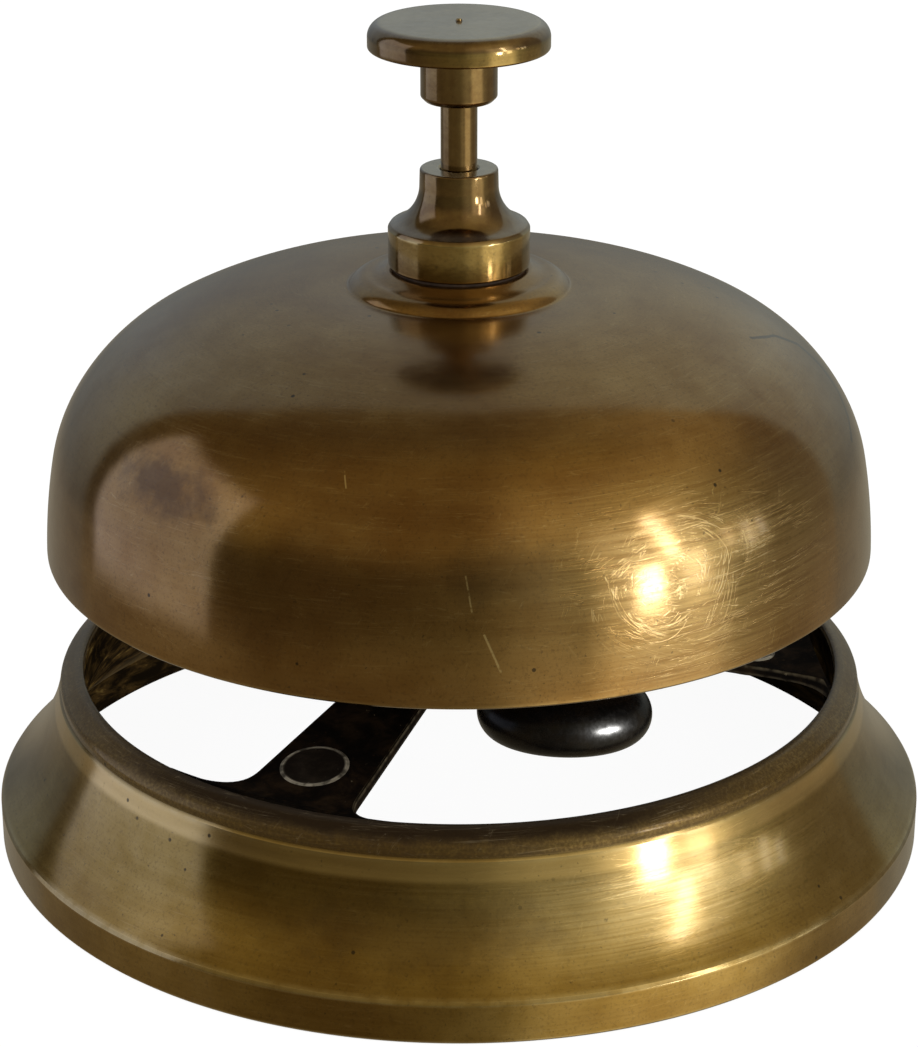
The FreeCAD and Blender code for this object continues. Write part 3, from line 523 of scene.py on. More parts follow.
def make_head():
    place = (
        Matrix.Rotation(math.radians(HEAD_ANGLE), 4, "Z")
        @ Matrix.Translation((HEAD_OUT * MM, 0, HEAD_HEIGHT * MM))
        @ Matrix.Rotation(math.radians(-8), 4, "Y")
        @ Matrix.Rotation(math.radians(-4), 4, "X")
    )
    flat = HEAD_RADIUS - HEAD_HALF
    corners = [
        (2.8, -HEAD_HALF, 0.1), (flat, -HEAD_HALF, 0.3), (HEAD_RADIUS, 0.0),
        (flat, HEAD_HALF, 0.3), (1.3, HEAD_HALF), (1.3, -1.3),
    ]
    arcs = {1: (HEAD_HALF, 1), 2: (HEAD_HALF, 1)}
    ob = lathe("hammer_disc", corners, arcs, segments=256, step=0.2, matrix=place)
    return register(ob, "hammer_head", "hammer")


dome = make_dome()
finial = make_finial()
knob = make_knob()
rod = make_rod()
spring = make_spring()
ring = make_ring()
hub = make_hub()
arms, rivets = [], []
for k in range(ARM_COUNT):
    arm_angle = ARM_ANGLE + 360 / ARM_COUNT * k
    arms.append(make_arm(k + 1, arm_angle))
    rivets.append(make_rivet(k + 1, arm_angle))
head = make_head()


# ---------------------------------------------------------------------- node helpers
class Value:
    """The output of a node. Arithmetic on it adds Math nodes to its tree."""

    def __init__(self, net, socket):
        self.net = net
        self.socket = socket

    def __add__(self, other):
        return self.net.math("ADD", self, other)

    def __radd__(self, other):
        return self.net.math("ADD", other, self)

    def __sub__(self, other):
        return self.net.math("SUBTRACT", self, other)

    def __rsub__(self, other):
        return self.net.math("SUBTRACT", other, self)

    def __mul__(self, other):
        return self.net.math("MULTIPLY", self, other)

    def __rmul__(self, other):
        return self.net.math("MULTIPLY", other, self)

    def __truediv__(self, other):
        return self.net.math("DIVIDE", self, other)

    def __abs__(self):
        return self.net.math("ABSOLUTE", self)

    def sqrt(self):
        return self.net.math("SQRT", self)

    def highest(self, other):
        return self.net.math("MAXIMUM", self, other)

    def lowest(self, other):
        return self.net.math("MINIMUM", self, other)

    def inverse(self):
        return self.net.math("SUBTRACT", 1.0, self, clamp=True)

    def ease(self, start, end, low=0.0, high=1.0):
        """Smooth change from low to high while the value goes from start to end."""
        return self.net.node(
            "ShaderNodeMapRange", dict(enumerate((self, start, end, low, high))),
            interpolation_type="SMOOTHSTEP",
        )

    def window(self, start, end, soft):
        """1 between start and end, 0 outside, with edges `soft` to each side."""
        rise = self.ease(start - soft, start + soft)
        return rise * self.ease(end - soft, end + soft, 1.0, 0.0)


class Net:
    """A node tree under construction."""

    def __init__(self, tree):
        self.tree = tree
        tree.nodes.clear()

    def put(self, socket, value):
        """Link or set an input; colours without alpha get one."""
        if isinstance(value, Value):
            self.tree.links.new(value.socket, socket)
        elif value is not None:
            if hasattr(socket.default_value, "__len__"):
                value = (*value, 1.0)[:len(socket.default_value)]
            socket.default_value = value

    def node(self, kind, inputs=None, output=0, **props):
        """Add a node, fill its inputs by name or number, and return one output."""
        node = self.tree.nodes.new(kind)
        for key, value in props.items():
            setattr(node, key, value)
        for key, value in (inputs or {}).items():
            self.put(node.inputs[key], value)
        return Value(self, node.outputs[output])

    def output(self, kind, shader):
        self.put(self.tree.nodes.new(kind).inputs[0], shader)

    def math(self, operation, first, second=None, clamp=False):
        inputs = {0: first, 1: second}
        return self.node("ShaderNodeMath", inputs, operation=operation, use_clamp=clamp)

    def vector(self, operation, first, second):
        output = "Value" if operation == "DOT_PRODUCT" else 0
        inputs = {0: first, 1: second}
        return self.node("ShaderNodeVectorMath", inputs, output, operation=operation)

    def scale(self, vector, factor):
        inputs = {0: vector, "Scale": factor}
        return self.node("ShaderNodeVectorMath", inputs, operation="SCALE")

    def split(self, vector):
        node = self.tree.nodes.new("ShaderNodeSeparateXYZ")
        self.put(node.inputs[0], vector)
        return [Value(self, socket) for socket in node.outputs]

    def join(self, x, y, z):
        return self.node("ShaderNodeCombineXYZ", {0: x, 1: y, 2: z})

    def noise(self, place, scale=1.0, detail=2.0, rough=0.5, warp=0.0):
        return self.node("ShaderNodeTexNoise", {
            "Vector": place, "Scale": scale, "Detail": detail, "Roughness": rough,
            "Distortion": warp,
        })

    def cells(self, place, scale):
        inputs = {"Vector": place, "Scale": scale, "Randomness": 1.0}
        return self.node("ShaderNodeTexVoronoi", inputs, "Distance", feature="F1")

    def mix(self, amount, under, over):
        return self.node(
            "ShaderNodeMix", {0: amount, 6: under, 7: over}, 2,
            data_type="RGBA", blend_type="MIX", clamp_factor=True,
        )

    def blend(self, amount, under, over):
        inputs = {0: amount, 2: under, 3: over}
        return self.node("ShaderNodeMix", inputs, data_type="FLOAT", clamp_factor=True)

    def ramp(self, amount, stops):
        node = self.tree.nodes.new("ShaderNodeValToRGB")
        elements = node.color_ramp.elements
        while len(elements) > 1:
            elements.remove(elements[-1])
        for i, (position, colour) in enumerate(stops):
            element = elements[0] if i == 0 else elements.new(position)
            element.position = position
            element.color = (*colour, 1.0)
        self.put(node.inputs[0], amount)
        return Value(self, node.outputs[0])

    def attribute(self, name):
        return self.node("ShaderNodeAttribute", output="Fac", attribute_name=name)

    def geometry(self, output):
        return self.node("ShaderNodeNewGeometry", output=output)

    def object_point(self):
        return self.node("ShaderNodeTexCoord", output="Object")

    def bump(self, height, distance, normal=None):
        """Bumps with a distance in mm."""
        inputs = {"Height": height, "Distance": distance * MM, "Strength": 1.0, "Normal": normal}
        return self.node("ShaderNodeBump", inputs)


def new_material(name):
    material = bpy.data.materials.new(name)
    material.use_nodes = True
    return material, Net(material.node_tree)


def turned_place(net):
    """Position in mm, with the radius, the direction from the axis, and a length that
    runs along a turned profile."""
    point = net.scale(net.object_point(), 1000.0)
    x, y, z = net.split(point)
    radius = (x * x + (y * y + 1e-4)).sqrt()
    return SimpleNamespace(
        point=point, x=x, y=y, z=z, radius=radius, cos=x / radius, sin=y / radius,
        along=z - radius,
    )


def ring_noise(net, place, around, along, detail, rough):
    where = net.join(place.cos * around, place.sin * around, place.along * along)
    return net.noise(where, detail=detail, rough=rough)


def up_facing(net):
    return net.split(net.geometry("Normal"))[2]


def length(x, y):
    return (x * x + y * y).sqrt()


def thin_lines(noise, width):
    """1 where the noise crosses its middle value, 0 beyond `width` from it."""
    return abs(noise - 0.5).ease(0.0, width, 1.0, 0.0)


def finish(
    net, colour, rough, normal, coat_rough, metallic=1.0, coat=0.0, specular=0.5, aniso=None,
):
    inputs = {
        "Base Color": colour, "Roughness": rough, "Metallic": metallic, "Coat Weight": coat,
        "Coat Roughness": coat_rough, "Specular IOR Level": specular, "Normal": normal,
    }
    if aniso is not None:
        inputs["Anisotropic"] = aniso
        inputs["Anisotropic Rotation"] = 0.25
        inputs["Tangent"] = net.node("ShaderNodeTangent", direction_type="RADIAL", axis="Z")
    net.output("ShaderNodeOutputMaterial", net.node("ShaderNodeBsdfPrincipled", inputs))


# ------------------------------------------------------------------ aged brass layers
# Angles on a turned piece are radians from the front, positive to the right.
# `along` is height minus radius, in mm.
def scratch_layer(net, place, turn, length, pitch, width, seed, sparse):
    """Thin, straight, broken lines: 1 on a line, 0 off it."""
    cos, sin = math.cos(turn), math.sin(turn)
    across = place.angle * 40.0
    run = across * cos + place.along * sin
    off = place.along * cos - across * sin
    where = net.join(run * (1.0 / length), off * (1.0 / pitch), seed)
    line = thin_lines(net.noise(where, warp=0.25), width)
    where = net.join(run * (1.7 / length), off * (0.35 / pitch), seed + 7.3)
    return line * net.noise(where, detail=1.0).ease(sparse, sparse + 0.08)


def straight_scratches(net, place):
    # turn (radians), length and pitch (mm), line width, threshold for gaps
    kinds = (
        (0.06, 12.0, 0.42, 0.014, 0.47),
        (-0.28, 7.0, 0.6, 0.010, 0.54),
        (1.15, 5.0, 0.7, 0.009, 0.58),
    )
    return reduce(Value.highest, [
        scratch_layer(net, place, turn, length, pitch, width, seed=3.1 + 5.7 * k, sparse=sparse)
        for k, (turn, length, pitch, width, sparse) in enumerate(kinds)
    ])


def swirl_scratches(net, place):
    """Arcs round three centres."""
    # centre angle, centre along, pitch (mm), seed
    centres = ((0.475, 1.0, 0.55, 4.0), (0.44, -1.0, 0.7, 9.0), (0.55, 2.6, 0.65, 14.0))
    swirls = []
    for angle, along, pitch, seed in centres:
        x = (place.angle - angle) * 42.0
        y = place.along - along
        reach = (x * x + (y * y + 0.01)).sqrt()
        reach = reach + (net.noise(place.point, scale=0.12, detail=0.0) - 0.5) * 1.6
        turn = net.math("ARCTAN2", y, x)
        where = net.join(reach * (1.0 / pitch), turn * 0.5, seed)
        ridge = thin_lines(net.noise(where, detail=1.0), 0.016)
        gate = net.noise(net.join(reach * 0.5, turn * 1.6, seed + 3.0), detail=1.0)
        swirls.append(ridge * gate.ease(0.50, 0.60) * reach.ease(14.0, 6.0))
    return reduce(Value.highest, swirls)


def segment_distance(net, place, radius, start, end):
    """Distance in mm from a segment between two (angle, along) points, with angles
    unrolled at a radius."""
    start_x, start_y = start[0] * radius, start[1]
    run_x, run_y = end[0] * radius - start_x, end[1] - start_y
    x, y = place.angle * radius, place.along
    share = net.math(
        "DIVIDE", (x - start_x) * run_x + (y - start_y) * run_y, run_x**2 + run_y**2, clamp=True,
    )
    return length((x - start_x) - share * run_x, (y - start_y) - share * run_y)


def dark_line_mask(net, place, dark_line):
    """A thin, ragged dark line through (angle, along, width) stations."""
    parts = []
    for (*start, width), (*end, _) in zip(dark_line, dark_line[1:]):
        distance = segment_distance(net, place, 40.0, start, end)
        distance = distance + (net.noise(place.point, scale=0.9) - 0.5) * 0.35
        parts.append(distance.ease(width, 0.4 * width))
    return reduce(Value.highest, parts)


def stain_mask(net, place, angle, along, wide, tall):
    x = (place.angle - angle) * place.radius / wide
    y = (place.along - along) / tall
    ragged = (net.noise(place.point, scale=0.35, detail=4.0, rough=0.6) - 0.5) * 1.6
    return (length(x, y) + ragged).ease(1.15, 0.35)


def painted_shade_mask(net, place, mottle):
    """Where a darker brown is painted: a painted dark reflection on sloping faces, painted shade on
    downward faces, the darker upright faces of narrow parts, and a painted shade patch on the left
    rim of the knob."""
    up = up_facing(net)
    # painted dark reflection on sloping faces
    slope = up.ease(0.10, 0.34) * up.ease(0.975, 0.93)
    # painted shade on downward faces
    below = up.ease(-0.15, -0.5) * 0.7
    neck = place.radius.ease(7.12, 6.95) * up.ease(0.9, 0.5) * 0.78
    # painted shade over the left rim of the knob
    rim = place.z.ease(81.0, 81.8) * place.cos.ease(-0.1, -0.6) * place.radius.ease(7.8, 8.5)
    mask = slope.highest(below).highest(neck.highest(rim * 0.9))
    return mask * mottle.ease(0.2, 0.7, 0.95, 0.75)


def lip_layers(net, place, colour, lip, mottle, bands, grit):
    """A bright band under the ring's lip and a dark skin on the lip, darkest at its inner side. The
    bright band is partly lighter brass and partly a painted reflection of the bright room above; the
    darkest inner side is partly dark patina and partly painted shade from the dome above, strongest
    at the front. Returns the colour and the masks of the dark inner side and of the skin."""
    height, inner_radius, outer_radius = lip
    # bright band: partly lighter brass, partly a painted reflection of the bright room above
    bright_band_and_reflection = place.z.window(14.1, 16.15, soft=0.35) * place.radius.ease(42.8, 43.0)
    bright_band_and_reflection = bright_band_and_reflection * bands.ease(0.25, 0.55, 0.55, 1.0)
    colour = net.mix(bright_band_and_reflection * 0.8, colour, (0.66, 0.47, 0.20))
    ragged = place.radius + (mottle - 0.5) * 1.0
    # dark inner side: partly dark patina, partly painted shade from the dome above
    dark = place.z.ease(height - 0.2, height + 0.2) * ragged.ease(outer_radius, inner_radius)
    # the painted shade is strongest at the front and fades towards the sides
    dark = dark * abs(place.angle + 0.15).ease(1.1, 0.5, 0.45, 1.0)
    skin = place.z.ease(height - 0.2, height + 0.2) * grit.ease(0.25, 0.6, 0.35, 0.75)
    colour = net.mix(skin, colour, (0.085, 0.046, 0.012))
    return net.mix(dark * 0.96, colour, (0.016, 0.009, 0.004)), dark, skin


def inner_wall(net, place, height):
    """Mask and colour of the wall that faces the axis below a height: black with smears, with painted
    light and shade that make it lighter on the left and darker towards the right.
    """
    axis_away = net.join(place.cos, place.sin, 0.0)
    outward = net.vector("DOT_PRODUCT", net.geometry("Normal"), axis_away)
    mask = outward.ease(-0.25, -0.8) * place.z.ease(height + 0.2, height - 0.3)
    where = net.join(place.cos * 9.0 + place.z * 0.35, place.sin * 9.0, place.z * 0.55)
    smear = net.noise(where, detail=5.0, rough=0.7, warp=0.5).ease(0.40, 0.78)
    black = net.ramp(smear, [
        (0.0, (0.006, 0.004, 0.002)), (0.6, (0.045, 0.026, 0.008)), (1.0, (0.16, 0.11, 0.03)),
    ])
    # painted light and shade: lighter on the left, darker towards the right
    return mask, net.scale(black, place.cos.ease(-0.4, 0.75, 1.4, 0.25))


def aged_brass(
    name, dark, mid, light, clean, rough, ring_pitch, dust, coat, scratch, aniso,
    cloud=0.045, specks=1.0, polish=None, shade_colour=None, lip=None, inner=None, top_haze=0.0,
    stains=(), nicks=(), dark_line=(),
):
    """Lacquered brass with turning rings, clouds, scratches, specks and dust.

    polish: (angle, along, reach in angle, reach along) of a cleaner, scratched area.
    shade_colour: colour of the painted shade and dark reflection on sloping faces and other shaded
    parts. top_haze: added roughness on level tops.
    lip: (height, inner radius, outer radius) of a dark lip, with a bright band below it that is
    partly a painted reflection, and an inner side that is partly painted shade. inner: top of a black
    wall with painted light on the left and painted shade towards the right.
    stains: (angle, along, width, height, amount). nicks: (start, end, width).
    dark_line: (angle, along, width) stations of a thin dark curved line.
    """
    material, net = new_material(name)
    place = turned_place(net)
    place.angle = net.math("ARCTAN2", place.x, place.y * -1.0)
    point = place.point

    # ground colour
    clouds = net.noise(point, scale=cloud, detail=4.0, rough=0.55, warp=0.3)
    mottle = net.noise(point, scale=cloud * 7.0, detail=4.0, rough=0.6, warp=0.2)
    bands = ring_noise(net, place, 1.6, 0.30 / ring_pitch * 0.35, detail=3.0, rough=0.55)
    fine = ring_noise(net, place, 3.0, 1.0 / ring_pitch, detail=4.0, rough=0.7)
    grit = net.noise(point, scale=3.2, detail=3.0, rough=0.6)
    tone = (clouds * 0.66 + (bands * 0.2 + mottle * 0.14)).ease(0.33, 0.67)
    colour = net.ramp(tone, [(0.0, dark), (0.5, mid), (1.0, light)])
    colour = net.mix(fine.ease(0.42, 0.75) * 0.20, colour, light)
    colour = net.mix(fine.ease(0.5, 0.25) * 0.25, colour, dark)
    colour = net.mix(grit.ease(0.50, 0.72) * 0.34, colour, [0.45 * part for part in dark])
    rough = rough + (mottle - 0.5) * 0.10
    rough = rough + (fine - 0.5) * 0.05

    # rubbed metal, painted shade and dark reflection on slopes, and the ring's lip
    if polish is not None:
        angle, along, angle_reach, along_reach = polish
        reach = length((place.angle - angle) / angle_reach, (place.along - along) / along_reach)
        polished = (reach + (clouds - 0.5) * 0.9).ease(1.35, 0.1)
        colour = net.mix(polished * (0.25 + fine.ease(0.3, 0.65) * 0.4), colour, clean)
        rough = rough + polished * 0.06
        aniso = net.blend(polished, aniso, min(aniso + 0.3, 0.9))
    shifted = net.vector("ADD", point, (37.0, 11.0, 5.0))
    patches = net.noise(shifted, scale=cloud * 1.8, detail=4.0, rough=0.6, warp=0.5)
    colour = net.mix(patches.ease(0.58, 0.78) * 0.12, colour, clean)
    # painted shade and dark reflection: a darker brown on sloping and downward faces, narrow parts
    # and the knob's left rim
    if shade_colour is not None:
        colour = net.mix(painted_shade_mask(net, place, mottle), colour, shade_colour)
    # the ring's lip: a bright band that is partly a painted reflection, and a dark inner side that is
    # partly painted shade
    if lip is not None:
        colour, lip_patina_and_shade, lip_skin = lip_layers(net, place, colour, lip, mottle, bands, grit)

    # scratches and nicks
    lines = straight_scratches(net, place)
    if polish is not None:
        swirls = swirl_scratches(net, place) * (polished * 1.1)
        lines = (lines * net.blend(polished, 0.25, 1.0)).highest(swirls)
    for start, end, width in nicks:
        nick = segment_distance(net, place, 43.0, start, end).ease(width, width * 0.3)
        lines = lines.highest(nick * net.noise(point, scale=1.6, detail=1.0).ease(0.3, 0.5))
    lines = net.math("MULTIPLY", lines, scratch, clamp=True)
    colour = net.mix(lines * 0.55, colour, (0.80, 0.64, 0.38))

    # pits, specks, stains and the dark line
    pits = net.cells(point, scale=0.34).ease(0.085, 0.05)
    pits = pits * net.noise(point, scale=0.09).ease(0.52, 0.6)
    tiny = net.noise(point, scale=2.6, detail=3.0, rough=0.6).ease(0.655, 0.735)
    spots = net.math("MULTIPLY", pits.highest(tiny * 0.6), specks, clamp=True)
    colour = net.mix(spots * 0.8, colour, (0.012, 0.008, 0.004))
    for *where, amount in stains:
        colour = net.mix(stain_mask(net, place, *where) * amount, colour, (0.05, 0.024, 0.012))
    if dark_line:
        colour = net.mix(dark_line_mask(net, place, dark_line) * 0.8, colour, (0.03, 0.015, 0.006))

    # worn edges and dirty corners
    worn = net.noise(point, scale=0.6, detail=3.0).ease(0.3, 0.6, 0.35, 1.0)
    colour = net.mix(net.attribute("wear") * worn * 0.6, colour, clean)
    colour = net.mix(net.attribute("dirt") * 0.6, colour, (0.02, 0.012, 0.005))

    # gloss
    coat = (1.0 - lines * 0.8) * mottle.ease(0.3, 0.65, 0.75 * coat, coat)
    metallic, specular = 1.0, 0.5
    if lip is not None:
        coat = coat * lip_patina_and_shade.inverse() * (1.0 - lip_skin * 0.6)
        metallic = 1.0 - lip_patina_and_shade * 0.92
        specular = 0.5 - lip_patina_and_shade * 0.46
        rough = net.blend(lip_patina_and_shade, rough, 0.55)
    if inner is not None:
        # black inner wall with painted light on the left and painted shade on the right
        hidden, black = inner_wall(net, place, inner)
        colour = net.mix(hidden, colour, black)
        rough = net.blend(hidden, rough, 0.75)
        coat = coat * hidden.inverse()
        metallic = net.blend(hidden, metallic, 0.0)
        specular = net.blend(hidden, specular, 0.0)

    # dust and haze on level tops
    up = up_facing(net)
    film = up.ease(0.75, 0.99) * clouds.ease(0.25, 0.7, 0.7, 1.0) * dust
    colour = net.mix(film * 0.6, colour, (0.27, 0.25, 0.22))
    metallic = metallic * (1.0 - film * 0.25)
    rough = rough + film * 0.12
    if top_haze > 0:
        haze = up.ease(0.86, 0.99)
        rough = rough + haze * top_haze
        coat = coat * (1.0 - haze * 0.75)
    rough = (rough + lines * 0.08).lowest(0.85).highest(0.06)

    ripple = net.noise(point, scale=1.3, detail=3.0)
    height = fine * 0.35 + (ripple * 0.2 + lines * -0.8) + spots * -0.6
    normal = net.bump(clouds, 0.06, normal=net.bump(height, 0.004))
    finish(
        net, colour, rough, normal, coat_rough=0.10, metallic=metallic, coat=coat,
        specular=specular, aniso=aniso,
    )
    return material


# -------------------------------------------------------------------- other materials
def black_metal(name, base, brown, bare, rough, metallic, specular, edge=0.9, grain=0.9):
    """Blackened metal with brown clouds; edge is how far worn edges go bare."""
    material, net = new_material(name)
    point = net.scale(net.object_point(), 1000.0)
    broad = net.noise(point, scale=0.28, detail=5.0, rough=0.65, warp=0.4)
    small = net.noise(point, scale=1.9, detail=4.0, rough=0.6)
    colour = net.mix(broad.ease(0.42, 0.75) * 0.7, base, brown)
    colour = net.mix(small.ease(0.60, 0.74) * 0.5, colour, brown)
    patchy = net.noise(point, scale=0.8, detail=3.0).ease(0.34, 0.6, 0.15, 1.0)
    colour = net.mix(net.attribute("wear") * patchy * edge, colour, bare)
    shifted = net.vector("ADD", point, (9.0, 3.0, 1.0))
    rubs = net.noise(shifted, scale=0.55, detail=5.0, rough=0.7, warp=0.8).ease(0.66, 0.76)
    colour = net.mix(rubs * 0.45, colour, bare)
    rough = (rough + (small - 0.5) * 0.25).highest(0.12)
    height = small * 0.7 + net.noise(point, scale=5.0, detail=3.0) * 0.3
    normal = net.bump(height, 0.02 * grain)
    finish(
        net, colour, rough, normal, coat_rough=0.15, metallic=metallic, specular=specular,
    )
    return material


def plain_metal(name, dark, light, rough):
    material, net = new_material(name)
    place = turned_place(net)
    broad = net.noise(place.point, scale=0.35, detail=5.0, rough=0.6, warp=0.3)
    small = net.noise(place.point, scale=2.2, detail=4.0, rough=0.6)
    fine = ring_noise(net, place, 4.0, 1.0 / 0.3, detail=3.0, rough=0.6)
    colour = net.mix(broad.ease(0.38, 0.64), dark, light)
    colour = net.mix(small.ease(0.58, 0.72) * 0.5, colour, (0.05, 0.03, 0.015))
    rough = rough + ((small - 0.5) * 0.2 + (fine - 0.5) * 0.12)
    normal = net.bump(fine * 0.5 + small * 0.5, 0.008)
    finish(net, colour, rough, normal, coat_rough=0.3, coat=0.15)
    return material


def leather(name):
    material, net = new_material(name)
    point = net.scale(net.object_point(), 1000.0)
    broad = net.noise(point, scale=1.2, detail=5.0, rough=0.65)
    colour = net.ramp(broad, [(0.3, (0.018, 0.010, 0.006)), (0.7, (0.06, 0.034, 0.018))])
    normal = net.bump(broad + net.cells(point, scale=4.0) * 0.5, 0.03)
    rough = 0.65 + broad * 0.2
    finish(net, colour, rough, normal, coat_rough=0.3, metallic=0.0, specular=0.35)
    return material


dome_brass = aged_brass(
    "aged_dome_brass", dark=(0.20, 0.096, 0.024), mid=(0.27, 0.148, 0.042),
    light=(0.35, 0.208, 0.07), clean=(0.56, 0.42, 0.20), rough=0.14, ring_pitch=0.45,
    dust=0.15, coat=0.62, scratch=1.0, aniso=0.35, polish=(0.64, 1.0, 0.50, 13.0),
    top_haze=0.07,
    stains=((-0.79, 8.6, 7.2, 4.4, 0.62), (0.10, 3.5, 6.0, 5.0, 0.30)),
    # the last width is unused: each belongs to the stretch that follows it
    dark_line=(
        (1.353, 25.97, 0.42), (1.488, 22.71, 0.55), (1.551, 18.52, 0.75),
        (1.537, 14.18, 0.80), (1.496, 10.17, 0.70), (1.425, 7.40, 0.50), (1.338, 5.30, 0.0),
    ),
    nicks=(
        ((0.055, -3.2), (0.090, -7.2), 0.16), ((0.015, 3.5), (0.028, -0.6), 0.12),
        ((-0.30, 16.6), (-0.285, 14.2), 0.13), ((0.33, 2.2), (0.352, -0.4), 0.11),
    ),
)
base_brass = aged_brass(
    "aged_base_brass", dark=(0.20, 0.112, 0.018), mid=(0.29, 0.182, 0.040),
    light=(0.40, 0.27, 0.085), clean=(0.62, 0.50, 0.28), rough=0.17, ring_pitch=0.4,
    dust=0.1, coat=0.6, scratch=0.6, aniso=0.3, polish=(0.42, -34.0, 0.5, 9.0),
    lip=(16.4, 41.9, 43.7), inner=18.3, stains=((-0.08, -36.5, 17.0, 6.0, 0.32),),
)
turned_brass = aged_brass(
    "aged_turned_brass", dark=(0.26, 0.17, 0.05), mid=(0.36, 0.25, 0.085),
    light=(0.46, 0.34, 0.13), clean=(0.66, 0.52, 0.25), rough=0.115, ring_pitch=0.22,
    dust=0.8, coat=0.7, scratch=0.12, aniso=0.4, cloud=0.14, specks=0.5,
    # colour of the painted shade and dark reflection
    shade_colour=(0.15, 0.085, 0.038),
)
arm_black = black_metal(
    "blackened_arms", base=(0.006, 0.0045, 0.0035), brown=(0.045, 0.026, 0.012),
    bare=(0.50, 0.40, 0.24), rough=0.75, metallic=0.0, specular=0.02, edge=0.22,
)
rivet_black = black_metal(
    "blackened_rivets", base=(0.012, 0.009, 0.007), brown=(0.06, 0.045, 0.03),
    bare=(0.70, 0.62, 0.46), rough=0.55, metallic=0.15, specular=0.12,
)
hammer_black = black_metal(
    "blackened_hammer", base=(0.0025, 0.0018, 0.0012), brown=(0.010, 0.006, 0.0025),
    bare=(0.02, 0.012, 0.006), rough=0.26, metallic=0.0, specular=0.12, edge=0.0, grain=0.2,
)
frame_brass = plain_metal(
    "dull_frame_brass", dark=(0.10, 0.06, 0.02), light=(0.26, 0.17, 0.06), rough=0.4,
)
steel = plain_metal(
    "grey_steel", dark=(0.20, 0.19, 0.18), light=(0.38, 0.37, 0.35), rough=0.34,
)
spring_steel = plain_metal(
    "spring_wire", dark=(0.28, 0.27, 0.25), light=(0.46, 0.45, 0.43), rough=0.28,
)
washer_leather = leather("washer_leather")


def paint(ob, material):
    if not ob.material_slots:
        ob.data.materials.append(material)
    for slot in ob.material_slots:
        slot.material = material


for material, pieces in (
    (dome_brass, [dome]), (base_brass, [ring]), (turned_brass, [finial, knob, rod]),
    (arm_black, [hub, *arms]), (rivet_black, rivets), (hammer_black, [head]),
    (spring_steel, [spring]),
):
    for piece in pieces:
        paint(piece, material)

# material of each CAD piece
CAD_FINISH = {
    "base_casting": base_brass, "arm_rivets": rivet_black, "bell_dome": dome_brass,
    "finial_nut": turned_brass, "plunger_rod": turned_brass, "push_knob": turned_brass,
    "hammer_lever": hammer_black, "hammer_head": hammer_black,
    "mechanism_frame": frame_brass, "frame_washer": frame_brass, "post": frame_brass,
    "stop_collar": frame_brass, "pivot_washers": frame_brass,
    "frame_nut": steel, "post_lock_nut": steel, "collar_pin": steel,
    "hammer_screw": steel, "pivot_screw": steel, "pivot_nut": steel,
    "plunger_spring": spring_steel,
    "lower_dome_washer": washer_leather, "upper_dome_washer": washer_leather,
}
for name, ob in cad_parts.items():
    paint(ob, CAD_FINISH[name])


# -------------------------------------------------------------------------- the room
def room_colour(net):
    """Colour of the surroundings by direction: a sum of soft-edged areas."""
    x, y, z = net.split(net.scale(net.geometry("Incoming"), -1.0))
    # degrees: azimuth from the front, positive to the right; elevation from level
    azimuth = net.math("ARCTAN2", x, y * -1.0) * (180 / math.pi)
    elevation = net.math("ARCSINE", z) * (180 / math.pi)

    def patch(azimuths, elevations):
        """Each range is (from, to, softness)."""
        return azimuth.window(*azimuths) * elevation.window(*elevations)

    rear = (y - (0.40 + abs(x) * 0.16)).ease(-0.025, 0.04)
    front = rear.inverse()
    rear = rear * elevation.ease(-18, 28, 0.22, 1.0)
    areas = [
        (elevation.window(-95, 95, 3), (0.095, 0.078, 0.045)),
        # overhead
        (front * (elevation.ease(12, 42) * y.ease(0.30, -0.30, 0.30, 1.0)), (0.23, 0.18, 0.075)),
        (front * (z.ease(0.50, 0.80) * x.ease(0.0, 0.32)), (0.17, 0.14, 0.06)),
        (front * patch((-70, -55, 6), (16, 46, 8)), (0.085, 0.07, 0.028)),
        # behind, left and right
        (rear * x.ease(0.4, -0.4), (0.20, 0.27, 0.35)),
        (rear * x.ease(-0.4, 0.4), (0.37, 0.44, 0.46)),
        # front and sides
        (front * patch((14, 86, 12), (-60, 55, 20)), (0.34, 0.33, 0.24)),
        (front * patch((38, 74, 6), (-32, 36, 8)), (0.72, 0.66, 0.48)),
        (front * patch((-50, 22, 16), (-20, 40, 12)), (0.055, 0.05, 0.027)),
        (front * patch((-10, 20, 14), (-90, 20, 14)), (0.045, 0.05, 0.035)),
        (front * patch((-116, -69.5, 1.6), (-15, 40, 3)), (0.50, 0.56, 0.74)),
        (front * (azimuth.window(-180, -60, 8) * elevation.ease(5, -20)), (0.06, 0.055, 0.045)),
        (front * patch((86, 140, 8), (-60, 60, 10)), (0.14, 0.125, 0.095)),
        # below
        (elevation.ease(-6, -20), (0.10, 0.075, 0.04)),
        (azimuth.window(20, 88, 12) * elevation.ease(-14, -30), (0.44, 0.38, 0.25)),
        # small bright panes low on the right
        (patch((77, 80, 0.6), (6, 16, 1)), (2.2, 2.0, 1.6)),
        (patch((84, 86.5, 0.6), (2, 14, 1)), (2.2, 2.2, 2.1)),
        (patch((89, 91, 0.6), (4, 12, 1)), (1.8, 1.9, 2.0)),
    ]
    terms = [net.scale(colour, amount) for amount, colour in areas]
    return reduce(lambda total, term: net.vector("ADD", total, term), terms)


